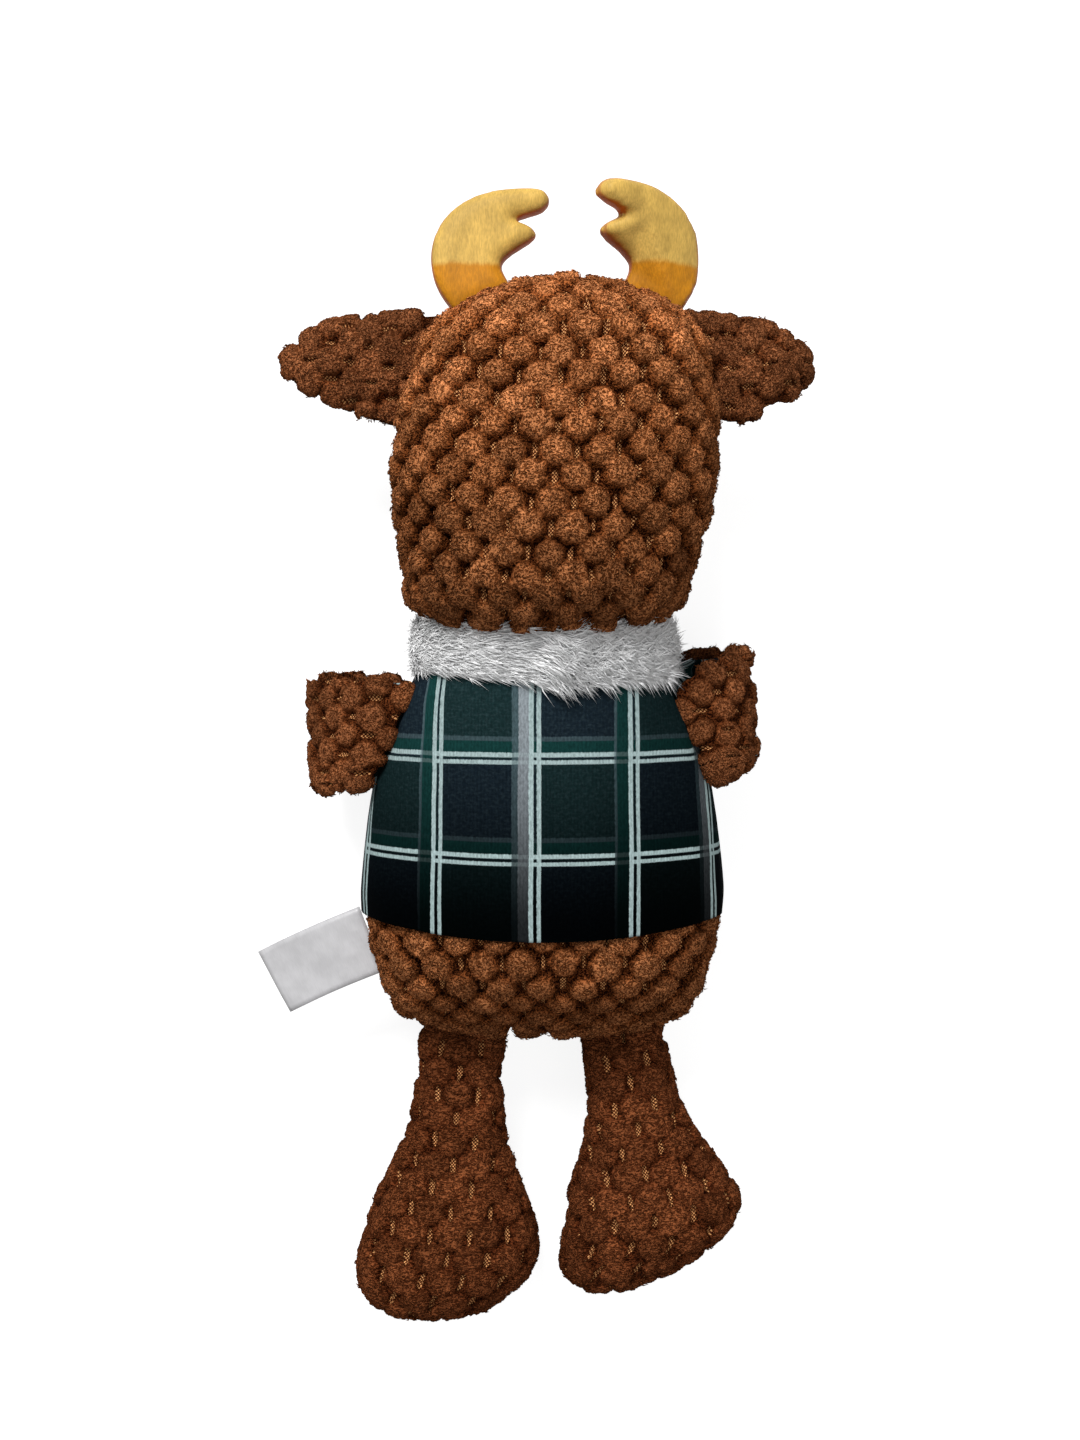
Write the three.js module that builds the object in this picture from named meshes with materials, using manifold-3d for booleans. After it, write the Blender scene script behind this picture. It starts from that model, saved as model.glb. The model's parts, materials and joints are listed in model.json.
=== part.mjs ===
// Plush deer lying on its belly, in millimetres: +Z is its back, +Y its head, +X its right-hand side.
// Each stuffed part is a swelling, tapering form. A cloth cover is that form's outer layer, and the
// filling is what the cover holds. Limbs, ears and antlers hang on seams, about which they swing.
import * as THREE from "three";
import { mergeVertices } from "three/addons/utils/BufferGeometryUtils.js";
import Module from "manifold-3d";

const wasm = await Module();
wasm.setup();

// Fits
const sewnGap = 0.3; // between two pieces that lie against each other
const swingGap = 0.5; // round a seam that a limb swings on
const restPress = 0.5; // how deep the table presses into a soft form
const cutReach = 300; // longer than any cut

// Cloth and filling
const bobbleCloth = 5; // bobbled plush with its backing
const legCloth = 4;
const velourCloth = 2.5; // printed velour of the jacket
const armPlush = 5.6;
const armLining = 3;

// Trunk, from the seat to the ball of the neck
const neckY = 72;
const neckZ = 43;
const neckHalfWidth = 40;
const neckRadius = 28;
const shoulderY = 59;
const shoulderHalfWidth = 47;
const chestY = 36;
const chestHalfWidth = 57;
const bellyY = 8;
const bellyHalfWidth = 61.5;
const hemY = -18;
const hemHalfWidth = 63.5;
const hemSag = 7; // how much lower the hem hangs at the middle than at the sides
const trunkDepth = 76;
const chestDepth = 73;
const seatY = -42;
const seatHalfWidth = 58.5;
const seatDepth = 70;
const crotchY = -67;
const crotchDepth = 32;
const crotchHalfWidth = 57;
const seatRounding = 26;
const neckHole = 11; // from the neck's axis to the jacket's neck hole

// Head
const headLean = 3.7; // degrees that the head leans to the right
const headZ = 58;
const headDepth = 84;
const headBottomY = 77;
const jawHalfWidth = 49;
const jawDepth = 75;
const cheekY = 104;
const cheekHalfWidth = 50.5;
const cheekDepth = 81;
const templeY = 136;
const templeHalfWidth = 56.5;
const browY = 176;
const browHalfWidth = 51;
const browDepth = 79;
const headTopY = 203;
const crownHalfWidth = 40;
const crownDepth = 62;
const jawRounding = 18;
const crownRounding = 26;

// Face
const muzzleY = 122;
const muzzleWidth = 56;
const muzzleLength = 44;
const muzzleDepth = 40;
const noseWidth = 19;
const noseLength = 13;
const noseDepth = 12;
const eyeSpacing = 46;
const eyeY = 156;
const eyeRadius = 5.5;
const eyeDome = 3;
const eyeRim = 1.1;
const eyeShankRadius = 1.6;
const eyeShankLength = 9;

// Ears
const earZ = 54;
const earThickness = 10;
const earSeamThickness = 6;
const earSink = 2.3; // how deep the sewn edge sits in the head
const earRootTopY = 193.5;
const earRootBottomY = 152;
const leftEarReach = 45;
const rightEarReach = 38;
const leftEarDroop = 3; // how far the tip hangs
const rightEarDroop = 20;
const leftEarLean = 3.3; // how far the tip leans towards the feet
const rightEarLean = -3.3;

// Antlers
const antlerZ = 52;
const antlerThickness = 9;
const antlerHeight = 36;
const antlerBase = 21.4;
const antlerSpread = 0.588; // share of the brow's width between the two bases
const antlerSink = 3.4; // how deep the sewn edge sits in the head
const antlerLean = 20.6; // degrees that each base slopes down with the crown
const antlerEdge = 1.6; // rounding of the edges
const leftAntlerTwist = 0; // degrees that the tines turn up about the beam
const rightAntlerTwist = 34;
const antlerTwistEnd = 22; // how far up the beam is fully turned

// Collar
const collarSideReach = 9; // how far it stands off from the neck
const collarTopReach = 10;
const collarWidth = 25;
const collarThickness = 13;
const collarTilt = -2.5; // degrees

// Arms, a flat strap each, folded forwards
const armZ = 50;
const armWidth = 40;
const armForearmReturn = 1.5;
const armThickness = 9;
const leftArmUpperY = 65.5; // upper end of the armhole
const rightArmUpperY = 64.8;
const leftArmReach = 29;
const rightArmReach = 25.3;
const leftArmSpread = 0.34; // share by which the fold reaches further at the shoulder's top
const rightArmSpread = 0.32;
const leftArmSlant = -11; // how far the fold lies towards the head
const rightArmSlant = 3;
const leftArmDrift = 3; // how far the forearm's end lies towards the head
const rightArmDrift = 12;

// Legs
const legThickness = 9; // at the sewn top edge
const legTopWidth = 32;
const legSpacing = 60;
const thighDepth = 24;
const ankleHalfWidth = 21;
const instepHalfWidth = 28.5;
const footHalfWidth = 33;
const footDepth = 45;
const toeRounding = 27;
const turningSlot = 1.4;
const hipSink = 2.6; // how deep the legs' top edge sits in the seat
const leftLegLength = 101;
const leftLegSplay = 3.3; // degrees
const leftToeShift = 9; // how far the toes lie towards the picture's left
const rightLegLength = 88;
const rightLegSplay = 9;
const rightToeShift = 17.5;

// Care label
const labelY = -29;
const labelWidth = 25;
const labelLength = 42;
const labelThickness = 0.8;
const labelTurn = 25; // degrees towards the feet
const labelDroop = 14;

// Degrees of roundness: 2 is an ellipse, more is squarer
const ellipse = 2;
const plump = 2.3;
const squarish = 3;
const blunt = 6;

const cloth = (name, color, roughness) => {
  const material = new THREE.MeshStandardMaterial({ color, roughness, metalness: 0 });
  material.name = name;
  return material;
};

const brownPlush = () => cloth("brown_plush", 0x7d4e30, 0.95);
const plaidVelour = () => cloth("plaid_velour", 0x16211f, 0.8);
const goldVelboa = () => cloth("gold_velboa", 0xd9a23f, 0.55);
const whiteFur = () => cloth("white_fur", 0xd6d8da, 0.95);
const creamPlush = () => cloth("cream_plush", 0xd9c3a0, 0.95);
const whiteSatin = () => cloth("white_satin", 0xe4e4e6, 0.4);
const fibre = () => cloth("fibre_filling", 0xf0efea, 1);
const darkVelboa = () => cloth("dark_velboa", 0x1c1412, 0.8);
const darkPlastic = () => cloth("dark_plastic", 0x15100e, 0.25);

// Closed skin over a row of rings, with a pole at each end
function skinOver(rings, firstPole, lastPole) {
  const around = rings[0].length;
  const points = [firstPole, ...rings.flat(), lastPole];
  const last = points.length - 1;
  const faces = [];
  for (let i = 0; i < around; i += 1) {
    const next = (i + 1) % around;
    faces.push(0, 1 + next, 1 + i);
    faces.push(last, last - around + i, last - around + next);
    for (let ring = 0; ring < rings.length - 1; ring += 1) {
      const here = 1 + ring * around;
      const there = here + around;
      faces.push(here + i, here + next, there + i);
      faces.push(here + next, there + next, there + i);
    }
  }
  const geometry = new THREE.BufferGeometry().setFromPoints(points);
  geometry.setIndex(faces);
  return geometry;
}

// Smooth curve through the stations' values at a place along the form
function sizeAt(stations, key, y) {
  const last = stations.length - 1;
  if (y <= stations[0].y) return stations[0][key];
  if (y >= stations[last].y) return stations[last][key];
  const after = stations.findIndex((station) => station.y > y);
  const slope = (i) => {
    const low = stations[Math.max(i - 1, 0)];
    const high = stations[Math.min(i + 1, last)];
    return (high[key] - low[key]) / (high.y - low.y);
  };
  const [a, b] = [stations[after - 1], stations[after]];
  const span = b.y - a.y;
  const t = (y - a.y) / span;
  const hermite = (2 * t ** 3 - 3 * t ** 2 + 1) * a[key] + (3 * t ** 2 - 2 * t ** 3) * b[key];
  const bend = (t ** 3 - 2 * t ** 2 + t) * slope(after - 1) + (t ** 3 - t ** 2) * slope(after);
  return hermite + bend * span;
}

// Share of the full size that a rounded end leaves at a distance from the end
function rounding(distance, { length, power }) {
  if (distance >= length) return 1;
  return (1 - (1 - Math.max(distance, 0) / length) ** power) ** (1 / power);
}

// Half sizes and middle of a form at a place along it
function sectionAt(form, y, inset = 0) {
  const { stations, start, end } = form;
  const grow = (round) => ({ length: round.length - inset, power: round.power });
  const fromStart = y - form.from - inset;
  const toEnd = form.to - inset - y;
  const wide = rounding(fromStart, grow(start.wide)) * rounding(toEnd, grow(end.wide));
  const deep = rounding(fromStart, grow(start.deep)) * rounding(toEnd, grow(end.deep));
  return {
    x: sizeAt(stations, "x", y),
    z: sizeAt(stations, "z", y),
    wide: (sizeAt(stations, "wide", y) - inset) * wide,
    deep: (sizeAt(stations, "deep", y) - inset) * deep,
    power: sizeAt(stations, "power", y),
  };
}

// Point round a section: a superellipse
function onSection(section, y, angle) {
  const bend = (value) => Math.sign(value) * Math.abs(value) ** (2 / section.power);
  return new THREE.Vector3(
    section.x + section.wide * bend(Math.cos(angle)),
    y,
    section.z + section.deep * bend(Math.sin(angle)),
  );
}

// Stuffed form along +Y. A positive inset gives the space inside a cover that thick.
function stuffed(form, inset = 0) {
  const from = form.from + inset;
  const to = form.to - inset;
  const pole = (y, near) => {
    const { x, z } = sectionAt(form, near, inset);
    return new THREE.Vector3(x, y, z);
  };
  const rings = [];
  for (let ring = 1; ring < form.rings; ring += 1) {
    const y = from + ((to - from) * (1 - Math.cos((Math.PI * ring) / form.rings))) / 2;
    const section = sectionAt(form, y, inset);
    const angles = Array.from({ length: form.around }, (_, i) => (2 * Math.PI * i) / form.around);
    rings.push(angles.map((angle) => onSection(section, y, -angle)));
  }
  return skinOver(rings, pole(from, from), pole(to, to));
}

function solidOf(geometry, matrix = new THREE.Matrix4()) {
  const bare = geometry.clone().applyMatrix4(matrix);
  bare.deleteAttribute("normal");
  bare.deleteAttribute("uv");
  const merged = mergeVertices(bare);
  return new wasm.Manifold(
    new wasm.Mesh({
      numProp: 3,
      vertProperties: new Float32Array(merged.attributes.position.array),
      triVerts: new Uint32Array(merged.index.array),
    }),
  );
}

function geometryOf(solid) {
  const mesh = solid.getMesh();
  const geometry = new THREE.BufferGeometry();
  geometry.setAttribute("position", new THREE.BufferAttribute(mesh.vertProperties, 3));
  geometry.setIndex(new THREE.BufferAttribute(mesh.triVerts, 1));
  geometry.computeVertexNormals();
  return geometry;
}

const cut = (solid, ...cutters) => cutters.reduce((left, cutter) => left.subtract(cutter), solid);

// The table that everything lies on
const tableBox = new THREE.BoxGeometry(2 * cutReach, 2 * cutReach, cutReach);
const table = solidOf(tableBox.translate(0, 0, -cutReach / 2));

// Rod along local +X, which the sewn edge of a limb rolls about
function seamRod(radius, length, matrix) {
  const rod = new THREE.CylinderGeometry(radius, radius, length, 20);
  return solidOf(rod.rotateZ(Math.PI / 2), matrix);
}

// Frame of a limb: its origin on the seam, +Y away from the body, turned about +Z
function limbFrame(x, y, z, degrees) {
  const turn = new THREE.Matrix4().makeRotationZ(THREE.MathUtils.degToRad(degrees));
  return new THREE.Matrix4().makeTranslation(x, y, z).multiply(turn);
}

const group = new THREE.Group();

function add(name, solid, material, matrix = new THREE.Matrix4()) {
  const mesh = new THREE.Mesh(geometryOf(solid), material);
  mesh.name = name;
  mesh.applyMatrix4(matrix);
  group.add(mesh);
}

const evenRound = (length, power = ellipse) => ({
  wide: { length, power },
  deep: { length, power },
});

// Trunk form. Its front lies on the table, and its seat runs out at the height of the hips.
const shoulderHalfDepth = (chestDepth / 2 + neckRadius) / 2;
const hipZ = footDepth / 2 - restPress;
const trunkMiddle = trunkDepth / 2 - restPress;
const trunk = {
  from: crotchY,
  to: neckY + neckRadius,
  rings: 18,
  around: 28,
  start: {
    wide: { length: seatRounding, power: squarish },
    deep: { length: seatRounding, power: ellipse },
  },
  end: evenRound(neckRadius),
  stations: [
    [crotchY, hipZ, crotchHalfWidth, crotchDepth / 2, plump],
    [seatY, seatDepth / 2 - restPress, seatHalfWidth, seatDepth / 2, plump],
    [hemY, trunkMiddle, hemHalfWidth, trunkDepth / 2, plump],
    [bellyY, trunkMiddle, bellyHalfWidth, trunkDepth / 2, plump],
    [chestY, chestDepth / 2 - restPress, chestHalfWidth, chestDepth / 2, plump],
    [shoulderY, (neckZ + trunkMiddle) / 2, shoulderHalfWidth, shoulderHalfDepth, plump],
    [neckY, neckZ, neckHalfWidth, neckRadius, ellipse],
  ].map(([y, z, wide, deep, power]) => ({ y, x: 0, z, wide, deep, power })),
};

// The neck is a ball that is round about the nodding axis, and it fills a saddle in the head
function neckBall(gap) {
  const ball = new THREE.SphereGeometry(1, 28, 18).rotateZ(Math.PI / 2);
  ball.scale(neckHalfWidth + gap, neckRadius + gap, neckRadius + gap);
  return solidOf(ball.translate(0, neckY, neckZ));
}

// Everything on one side of the hem's curve: above it is the jacket, below it the seat
function hemSide(above, gap) {
  const far = above ? cutReach : -cutReach;
  const outline = new THREE.Shape();
  outline.moveTo(-cutReach, far);
  outline.lineTo(-cutReach, hemY + gap);
  outline.lineTo(-hemHalfWidth, hemY + gap);
  outline.quadraticCurveTo(0, hemY + gap - 2 * hemSag, hemHalfWidth, hemY + gap);
  outline.lineTo(cutReach, hemY + gap);
  outline.lineTo(cutReach, far);
  const block = new THREE.ExtrudeGeometry(outline, { depth: cutReach, bevelEnabled: false });
  return solidOf(block.translate(0, 0, -cutReach / 2));
}

const headMiddle = (y) => (y - neckY) * Math.tan(THREE.MathUtils.degToRad(headLean));
const head = {
  from: headBottomY,
  to: headTopY,
  rings: 14,
  around: 28,
  start: evenRound(jawRounding),
  end: evenRound(crownRounding, plump),
  stations: [
    [headBottomY, jawHalfWidth, jawDepth],
    [cheekY, cheekHalfWidth, cheekDepth],
    [templeY, templeHalfWidth, headDepth],
    [browY, browHalfWidth, browDepth],
    [headTopY, crownHalfWidth, crownDepth],
  ].map(([y, wide, depth]) => {
    return { y, x: headMiddle(y), z: headZ, wide, deep: depth / 2, power: ellipse };
  }),
};

// Half width of the head at a place along it and a height
function headReach(y, z) {
  const { wide, deep } = sectionAt(head, y);
  return wide * Math.sqrt(1 - ((z - headZ) / deep) ** 2);
}

// Legs: a thin sewn top edge that swells into a thigh and flares into a foot
const legs = [
  { side: "left", sign: -1, length: leftLegLength, splay: leftLegSplay, toe: leftToeShift },
  { side: "right", sign: 1, length: rightLegLength, splay: rightLegSplay, toe: rightToeShift },
].map((leg) => {
  const seamRadius = legThickness / 2;
  const thighShare = 0.17;
  const ankleShare = 0.4;
  const instepShare = 0.57;
  const footShare = 0.76;
  const shares = [
    [0, 0, legTopWidth / 2, seamRadius],
    [thighShare, 0, legTopWidth / 2, thighDepth / 2 - seamRadius / 2],
    [ankleShare, 0, ankleHalfWidth, thighDepth / 2 + seamRadius / 2],
    [instepShare, 0, instepHalfWidth, (thighDepth + footDepth) / 4 + seamRadius / 2],
    [footShare, 0, footHalfWidth, footDepth / 2],
    [1, leg.toe, footHalfWidth, footDepth / 2],
  ];
  const form = {
    from: -seamRadius,
    to: leg.length,
    rings: 14,
    around: 18,
    start: {
      wide: { length: seamRadius, power: blunt },
      deep: { length: seamRadius, power: ellipse },
    },
    end: evenRound(toeRounding, plump),
    stations: shares.map(([share, x, wide, deep]) => {
      return { y: share * leg.length, x, z: 0, wide, deep, power: plump };
    }),
  };
  const standOff = seamRadius + swingGap - hipSink;
  const hipX = (leg.sign * legSpacing) / 2;
  const frame = limbFrame(hipX, crotchY - standOff, hipZ, 180 + leg.sign * leg.splay);
  const groove = seamRod(seamRadius + swingGap, legTopWidth + 2 * swingGap, frame);
  return { ...leg, form, frame, groove, seamRadius };
});

// Arms: the strap's middle line leaves the armhole, folds at its outer edge and comes back below
const armDrop = armZ + restPress - armThickness / 2;
const armSink = (armThickness / 2 + swingGap) / 2;
const sideAt = (y) => sectionAt(trunk, y).wide;
const leftArm = {
  upperY: leftArmUpperY,
  reach: leftArmReach,
  spread: leftArmSpread,
  slant: leftArmSlant,
  drift: leftArmDrift,
};
const rightArm = {
  upperY: rightArmUpperY,
  reach: rightArmReach,
  spread: rightArmSpread,
  slant: rightArmSlant,
  drift: rightArmDrift,
};
const arms = [
  { side: "left", sign: -1, ...leftArm },
  { side: "right", sign: 1, ...rightArm },
].map((arm) => {
  const fold = arm.reach - armThickness / 2;
  const drift = arm.sign * arm.drift;
  const slant = arm.sign * arm.slant;
  const line = new THREE.CatmullRomCurve3([
    new THREE.Vector3(-armThickness / 4, 0, 0),
    new THREE.Vector3(fold / 2, slant / 2, -armThickness / 4),
    new THREE.Vector3(fold, slant, -armDrop / 2),
    new THREE.Vector3(fold / 2, (slant + drift) / 2, armThickness / 4 - armDrop),
    new THREE.Vector3(-armForearmReturn, drift, -armDrop),
  ]);
  const upperSide = sideAt(arm.upperY);
  const lowerSide = sideAt(arm.upperY - armWidth);
  const turn = THREE.MathUtils.radToDeg(Math.atan2(lowerSide - upperSide, armWidth));
  const rootX = (upperSide + lowerSide) / 2 + armSink;
  const away = arm.sign > 0 ? turn : 180 - turn;
  const frame = limbFrame(arm.sign * rootX, arm.upperY - armWidth / 2, armZ, away);
  const along = limbFrame(0, 0, 0, 90);
  const rootFrame = frame.clone().multiply(along);
  const groove = seamRod(armThickness / 2 + swingGap, armWidth + 2 * swingGap, rootFrame);
  return { ...arm, line, frame, groove };
});

// Layer of a folded strap, between two distances from its middle line. The fold reaches further
// towards the head, so the line is drawn out at that edge and drawn in at the other.
function strapLayer({ line, sign, spread }, inner, outer) {
  const steps = 13;
  const corners = 10;
  const rings = [];
  for (let step = 0; step <= steps; step += 1) {
    const t = step / steps;
    const middle = line.getPoint(t);
    const tangent = line.getTangent(t);
    const toEnd = Math.min(t, 1 - t) * line.getLength();
    const full = rounding(toEnd + armThickness / 4, { length: armThickness / 2, power: ellipse });
    const narrow = rounding(toEnd + armThickness / 2, { length: armThickness, power: ellipse });
    const half = (full * (outer - inner)) / 2;
    const offset = (full * (outer + inner)) / 2;
    const ring = Array.from({ length: corners }, (_, i) => {
      const section = { x: 0, z: 0, wide: (narrow * armWidth) / 2, deep: half, power: blunt };
      const point = onSection(section, 0, (2 * Math.PI * (i + 0.5)) / corners);
      const drawn = 1 + (sign * spread * point.x) / (armWidth / 2);
      const normal = new THREE.Vector3(-tangent.z, 0, tangent.x * drawn).normalize();
      return new THREE.Vector3(middle.x * drawn, middle.y + point.x, middle.z).addScaledVector(
        normal,
        offset + point.z,
      );
    });
    rings.push(ring);
  }
  const middleOf = (ring) =>
    ring.reduce((sum, point) => sum.add(point), new THREE.Vector3()).divideScalar(ring.length);
  return skinOver(rings, middleOf(rings[0]), middleOf(rings[steps]));
}

// Ears: a padded leaf each, sewn along the side of the head
const earSeam = earSeamThickness / 2;
const ears = [
  { side: "left", sign: -1, reach: leftEarReach, droop: leftEarDroop, lean: leftEarLean },
  { side: "right", sign: 1, reach: rightEarReach, droop: rightEarDroop, lean: rightEarLean },
].map((ear) => {
  const topReach = headReach(earRootTopY, earZ);
  const bottomReach = headReach(earRootBottomY, earZ);
  const rootWidth = Math.hypot(earRootTopY - earRootBottomY, bottomReach - topReach);
  const slope = Math.atan2(bottomReach - topReach, earRootTopY - earRootBottomY);
  const standOff = earSeam + swingGap - earSink;
  const middleReach = headReach((earRootTopY + earRootBottomY) / 2, earZ);
  const rootMiddle = headMiddle((earRootTopY + earRootBottomY) / 2);
  const rootX = rootMiddle + ear.sign * (middleReach + standOff / Math.cos(slope));
  const turn = THREE.MathUtils.radToDeg(slope) - 90;
  const rootY = (earRootTopY + earRootBottomY) / 2;
  const frame = limbFrame(rootX, rootY, earZ, ear.sign > 0 ? turn : -turn);
  const groove = seamRod(earSeam + swingGap, rootWidth + 2 * swingGap, frame);
  // Upper and lower edge of the leaf, as shares of half the root's width, along its length
  const leafShares = [
    [0, 1, -1, earSeam],
    [0.3, 0.73, -0.96, earThickness / 2],
    [0.6, 0.42, -0.92, earThickness / 2],
    [0.85, 0.05, -0.82, earThickness / 2],
    [1, -0.45, -0.76, earThickness / 2],
  ];
  const form = {
    from: -earSeam,
    to: ear.reach,
    rings: 10,
    around: 16,
    start: {
      wide: { length: earSeam, power: blunt },
      deep: { length: earSeam, power: ellipse },
    },
    end: evenRound(earThickness),
    stations: leafShares.map(([share, upper, lower, deep]) => ({
      y: share * ear.reach,
      x: ear.sign * (ear.lean * share ** 2 - ((upper + lower) * rootWidth) / 4),
      z: -ear.droop * share ** 2,
      wide: ((upper - lower) * rootWidth) / 4,
      deep,
      power: ellipse,
    })),
  };
  return { ...ear, form, frame, groove };
});

// Antlers: one outline cut twice, a beam that hooks inwards with two tines. These are shares of the
// antler's height, on the flat face that the rounded edges surround.
const outerBeamShares = [
  [0.31, 0.26],
  [0.275, 0.5],
  [0.19, 0.655],
  [0.05, 0.79],
  [-0.13, 0.87],
  [-0.34, 0.9],
  [-0.57, 0.875],
  [-0.79, 0.81],
];
const upperTineShares = [
  [-0.9, 0.76],
  [-0.92, 0.7],
  [-0.87, 0.665],
  [-0.7, 0.67],
  [-0.49, 0.672],
];
const notchShare = [-0.49, 0.58];
const lowerTineShares = [
  [-0.56, 0.535],
  [-0.67, 0.44],
  [-0.67, 0.405],
  [-0.52, 0.375],
  [-0.34, 0.325],
  [-0.26, 0.26],
  [-0.23, 0.16],
];

function antlerOutline(sign) {
  const place = ([across, up]) => new THREE.Vector2(sign * across * antlerHeight, up * antlerHeight);
  const half = antlerBase / 2 - antlerEdge;
  const outline = new THREE.Shape();
  outline.moveTo(sign * half, 0);
  outline.splineThru(outerBeamShares.map(place));
  outline.splineThru(upperTineShares.map(place));
  outline.lineTo(...place(notchShare).toArray());
  outline.splineThru(lowerTineShares.map(place));
  outline.lineTo(-sign * half, 0);
  outline.closePath();
  return outline;
}

const antlerSpacing = 2 * browHalfWidth * antlerSpread;
const antlers = [
  { side: "left", sign: -1, twist: leftAntlerTwist },
  { side: "right", sign: 1, twist: rightAntlerTwist },
].map((antler) => {
  const seamRadius = antlerThickness / 2;
  const half = (antlerBase / 2) * Math.cos(THREE.MathUtils.degToRad(antlerLean));
  const reach = (y) => headReach(y, antlerZ);
  // Highest place on the crown that is as wide as the base's middle
  let rootY = headTopY;
  while (!(reach(rootY) >= antlerSpacing / 2) && rootY > browY) rootY -= sewnGap / 2;
  const standOff = seamRadius + swingGap - antlerSink;
  const frame = limbFrame(
    headMiddle(rootY) + (antler.sign * antlerSpacing) / 2,
    rootY + standOff,
    antlerZ,
    -antler.sign * antlerLean,
  );
  const groove = seamRod(seamRadius + swingGap, 2 * half + 2 * antlerEdge, frame);
  return { ...antler, frame, groove };
});

function antlerSolid(antler) {
  const plate = new THREE.ExtrudeGeometry(antlerOutline(antler.sign), {
    depth: antlerThickness - 2 * antlerEdge,
    curveSegments: 2,
    bevelThickness: antlerEdge,
    bevelSize: antlerEdge,
    bevelSegments: 2,
  });
  plate.translate(0, 0, antlerEdge - antlerThickness / 2);
  const places = plate.attributes.position;
  const up = new THREE.Vector3(0, 1, 0);
  for (let i = 0; i < places.count; i += 1) {
    const point = new THREE.Vector3().fromBufferAttribute(places, i);
    const share = THREE.MathUtils.smoothstep(point.y, 0, antlerTwistEnd);
    point.applyAxisAngle(up, antler.sign * share * THREE.MathUtils.degToRad(antler.twist));
    places.setXYZ(i, ...point.toArray());
  }
  return solidOf(plate);
}

// Muzzle, nose and eyes
function ball(width, length, depth, x, y, z) {
  const geometry = new THREE.SphereGeometry(0.5, 20, 12).rotateX(Math.PI / 2);
  geometry.scale(width, length, depth);
  return geometry.translate(x, y, z);
}

const muzzleX = headMiddle(muzzleY);
const muzzleZ = muzzleDepth / 2 - restPress;
const muzzleForm = (gap) =>
  solidOf(
    ball(muzzleWidth + gap, muzzleLength + gap, muzzleDepth + gap, muzzleX, muzzleY, muzzleZ),
  );
const noseY = muzzleY + muzzleLength / 2 - noseLength / 4;

const eyes = [
  { side: "left", sign: -1 },
  { side: "right", sign: 1 },
].map((eye) => {
  const x = (eye.sign * eyeSpacing) / 2;
  const { wide, deep } = sectionAt(head, eyeY);
  const z = headZ - deep * Math.sqrt(1 - (x / wide) ** 2);
  // The eye looks square to the face, away from the head's middle line
  const outward = new THREE.Vector3(x / wide ** 2, 0, (z - headZ) / deep ** 2).normalize();
  const turn = new THREE.Quaternion().setFromUnitVectors(new THREE.Vector3(0, 1, 0), outward);
  const at = new THREE.Vector3(headMiddle(eyeY) + x, eyeY, z);
  const frame = new THREE.Matrix4().compose(at, turn, new THREE.Vector3(1, 1, 1));
  return { ...eye, frame };
});

// Button eye: a dome on a shank, turned from one profile. It sits just off the cloth.
function buttonEye(gap) {
  const profile = [new THREE.Vector2(0, -eyeShankLength - gap)];
  profile.push(new THREE.Vector2(eyeShankRadius + gap, -eyeShankLength - gap));
  profile.push(new THREE.Vector2(eyeShankRadius + gap, sewnGap + eyeRim));
  profile.push(new THREE.Vector2(eyeRadius, sewnGap + eyeRim));
  const steps = 4;
  for (let step = 1; step <= steps; step += 1) {
    const angle = (Math.PI / 2) * (step / steps);
    const up = sewnGap + eyeRim + eyeDome * Math.sin(angle);
    profile.push(new THREE.Vector2(step === steps ? 0 : eyeRadius * Math.cos(angle), up));
  }
  return new THREE.LatheGeometry(profile, 14);
}

// Trunk pieces
const hipGrooves = legs.map((leg) => leg.groove);
const armGrooves = arms.map((arm) => arm.groove);
const trunkOuter = solidOf(stuffed(trunk));
const aboveNeckHole = solidOf(
  new THREE.BoxGeometry(cutReach, cutReach, cutReach).translate(
    0,
    neckY + neckHole + cutReach / 2,
    0,
  ),
);
add(
  "torso_cover",
  cut(
    trunkOuter.intersect(hemSide(true, sewnGap / 2)),
    solidOf(stuffed(trunk, velourCloth)),
    aboveNeckHole,
    table,
    ...armGrooves,
  ),
  plaidVelour(),
);
add(
  "seat_cover",
  cut(
    trunkOuter.intersect(hemSide(false, -sewnGap / 2)),
    solidOf(stuffed(trunk, bobbleCloth)),
    table,
    ...hipGrooves,
  ),
  brownPlush(),
);
add(
  "trunk_filling",
  cut(solidOf(stuffed(trunk, bobbleCloth + sewnGap)), table, ...hipGrooves, ...armGrooves),
  fibre(),
);

// Head pieces
const headGrooves = [...ears, ...antlers].map((piece) => piece.groove);
const eyeHoles = eyes.map((eye) => solidOf(buttonEye(sewnGap), eye.frame));
const headOuter = solidOf(stuffed(head));
add(
  "head_cover",
  cut(
    headOuter,
    solidOf(stuffed(head, bobbleCloth)),
    neckBall(swingGap),
    ...headGrooves,
    ...eyeHoles,
  ),
  brownPlush(),
);
add(
  "head_filling",
  cut(
    solidOf(stuffed(head, bobbleCloth + sewnGap)),
    neckBall(swingGap),
    ...headGrooves,
    ...eyeHoles,
  ),
  fibre(),
);
const headClear = solidOf(stuffed(head, -sewnGap));
add("muzzle", cut(muzzleForm(0), headClear, table), creamPlush());
add(
  "nose",
  cut(
    solidOf(ball(noseWidth, noseLength, noseDepth, muzzleX, noseY, noseDepth / 2 + sewnGap)),
    muzzleForm(2 * sewnGap),
    headClear,
  ),
  darkVelboa(),
);
for (const eye of eyes) {
  add(`eye_${eye.side}`, solidOf(buttonEye(0)), darkPlastic(), eye.frame);
}
for (const ear of ears) {
  add(`ear_${ear.side}`, solidOf(stuffed(ear.form)), brownPlush(), ear.frame);
}
for (const antler of antlers) {
  add(`antler_${antler.side}`, antlerSolid(antler), goldVelboa(), antler.frame);
}

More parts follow.
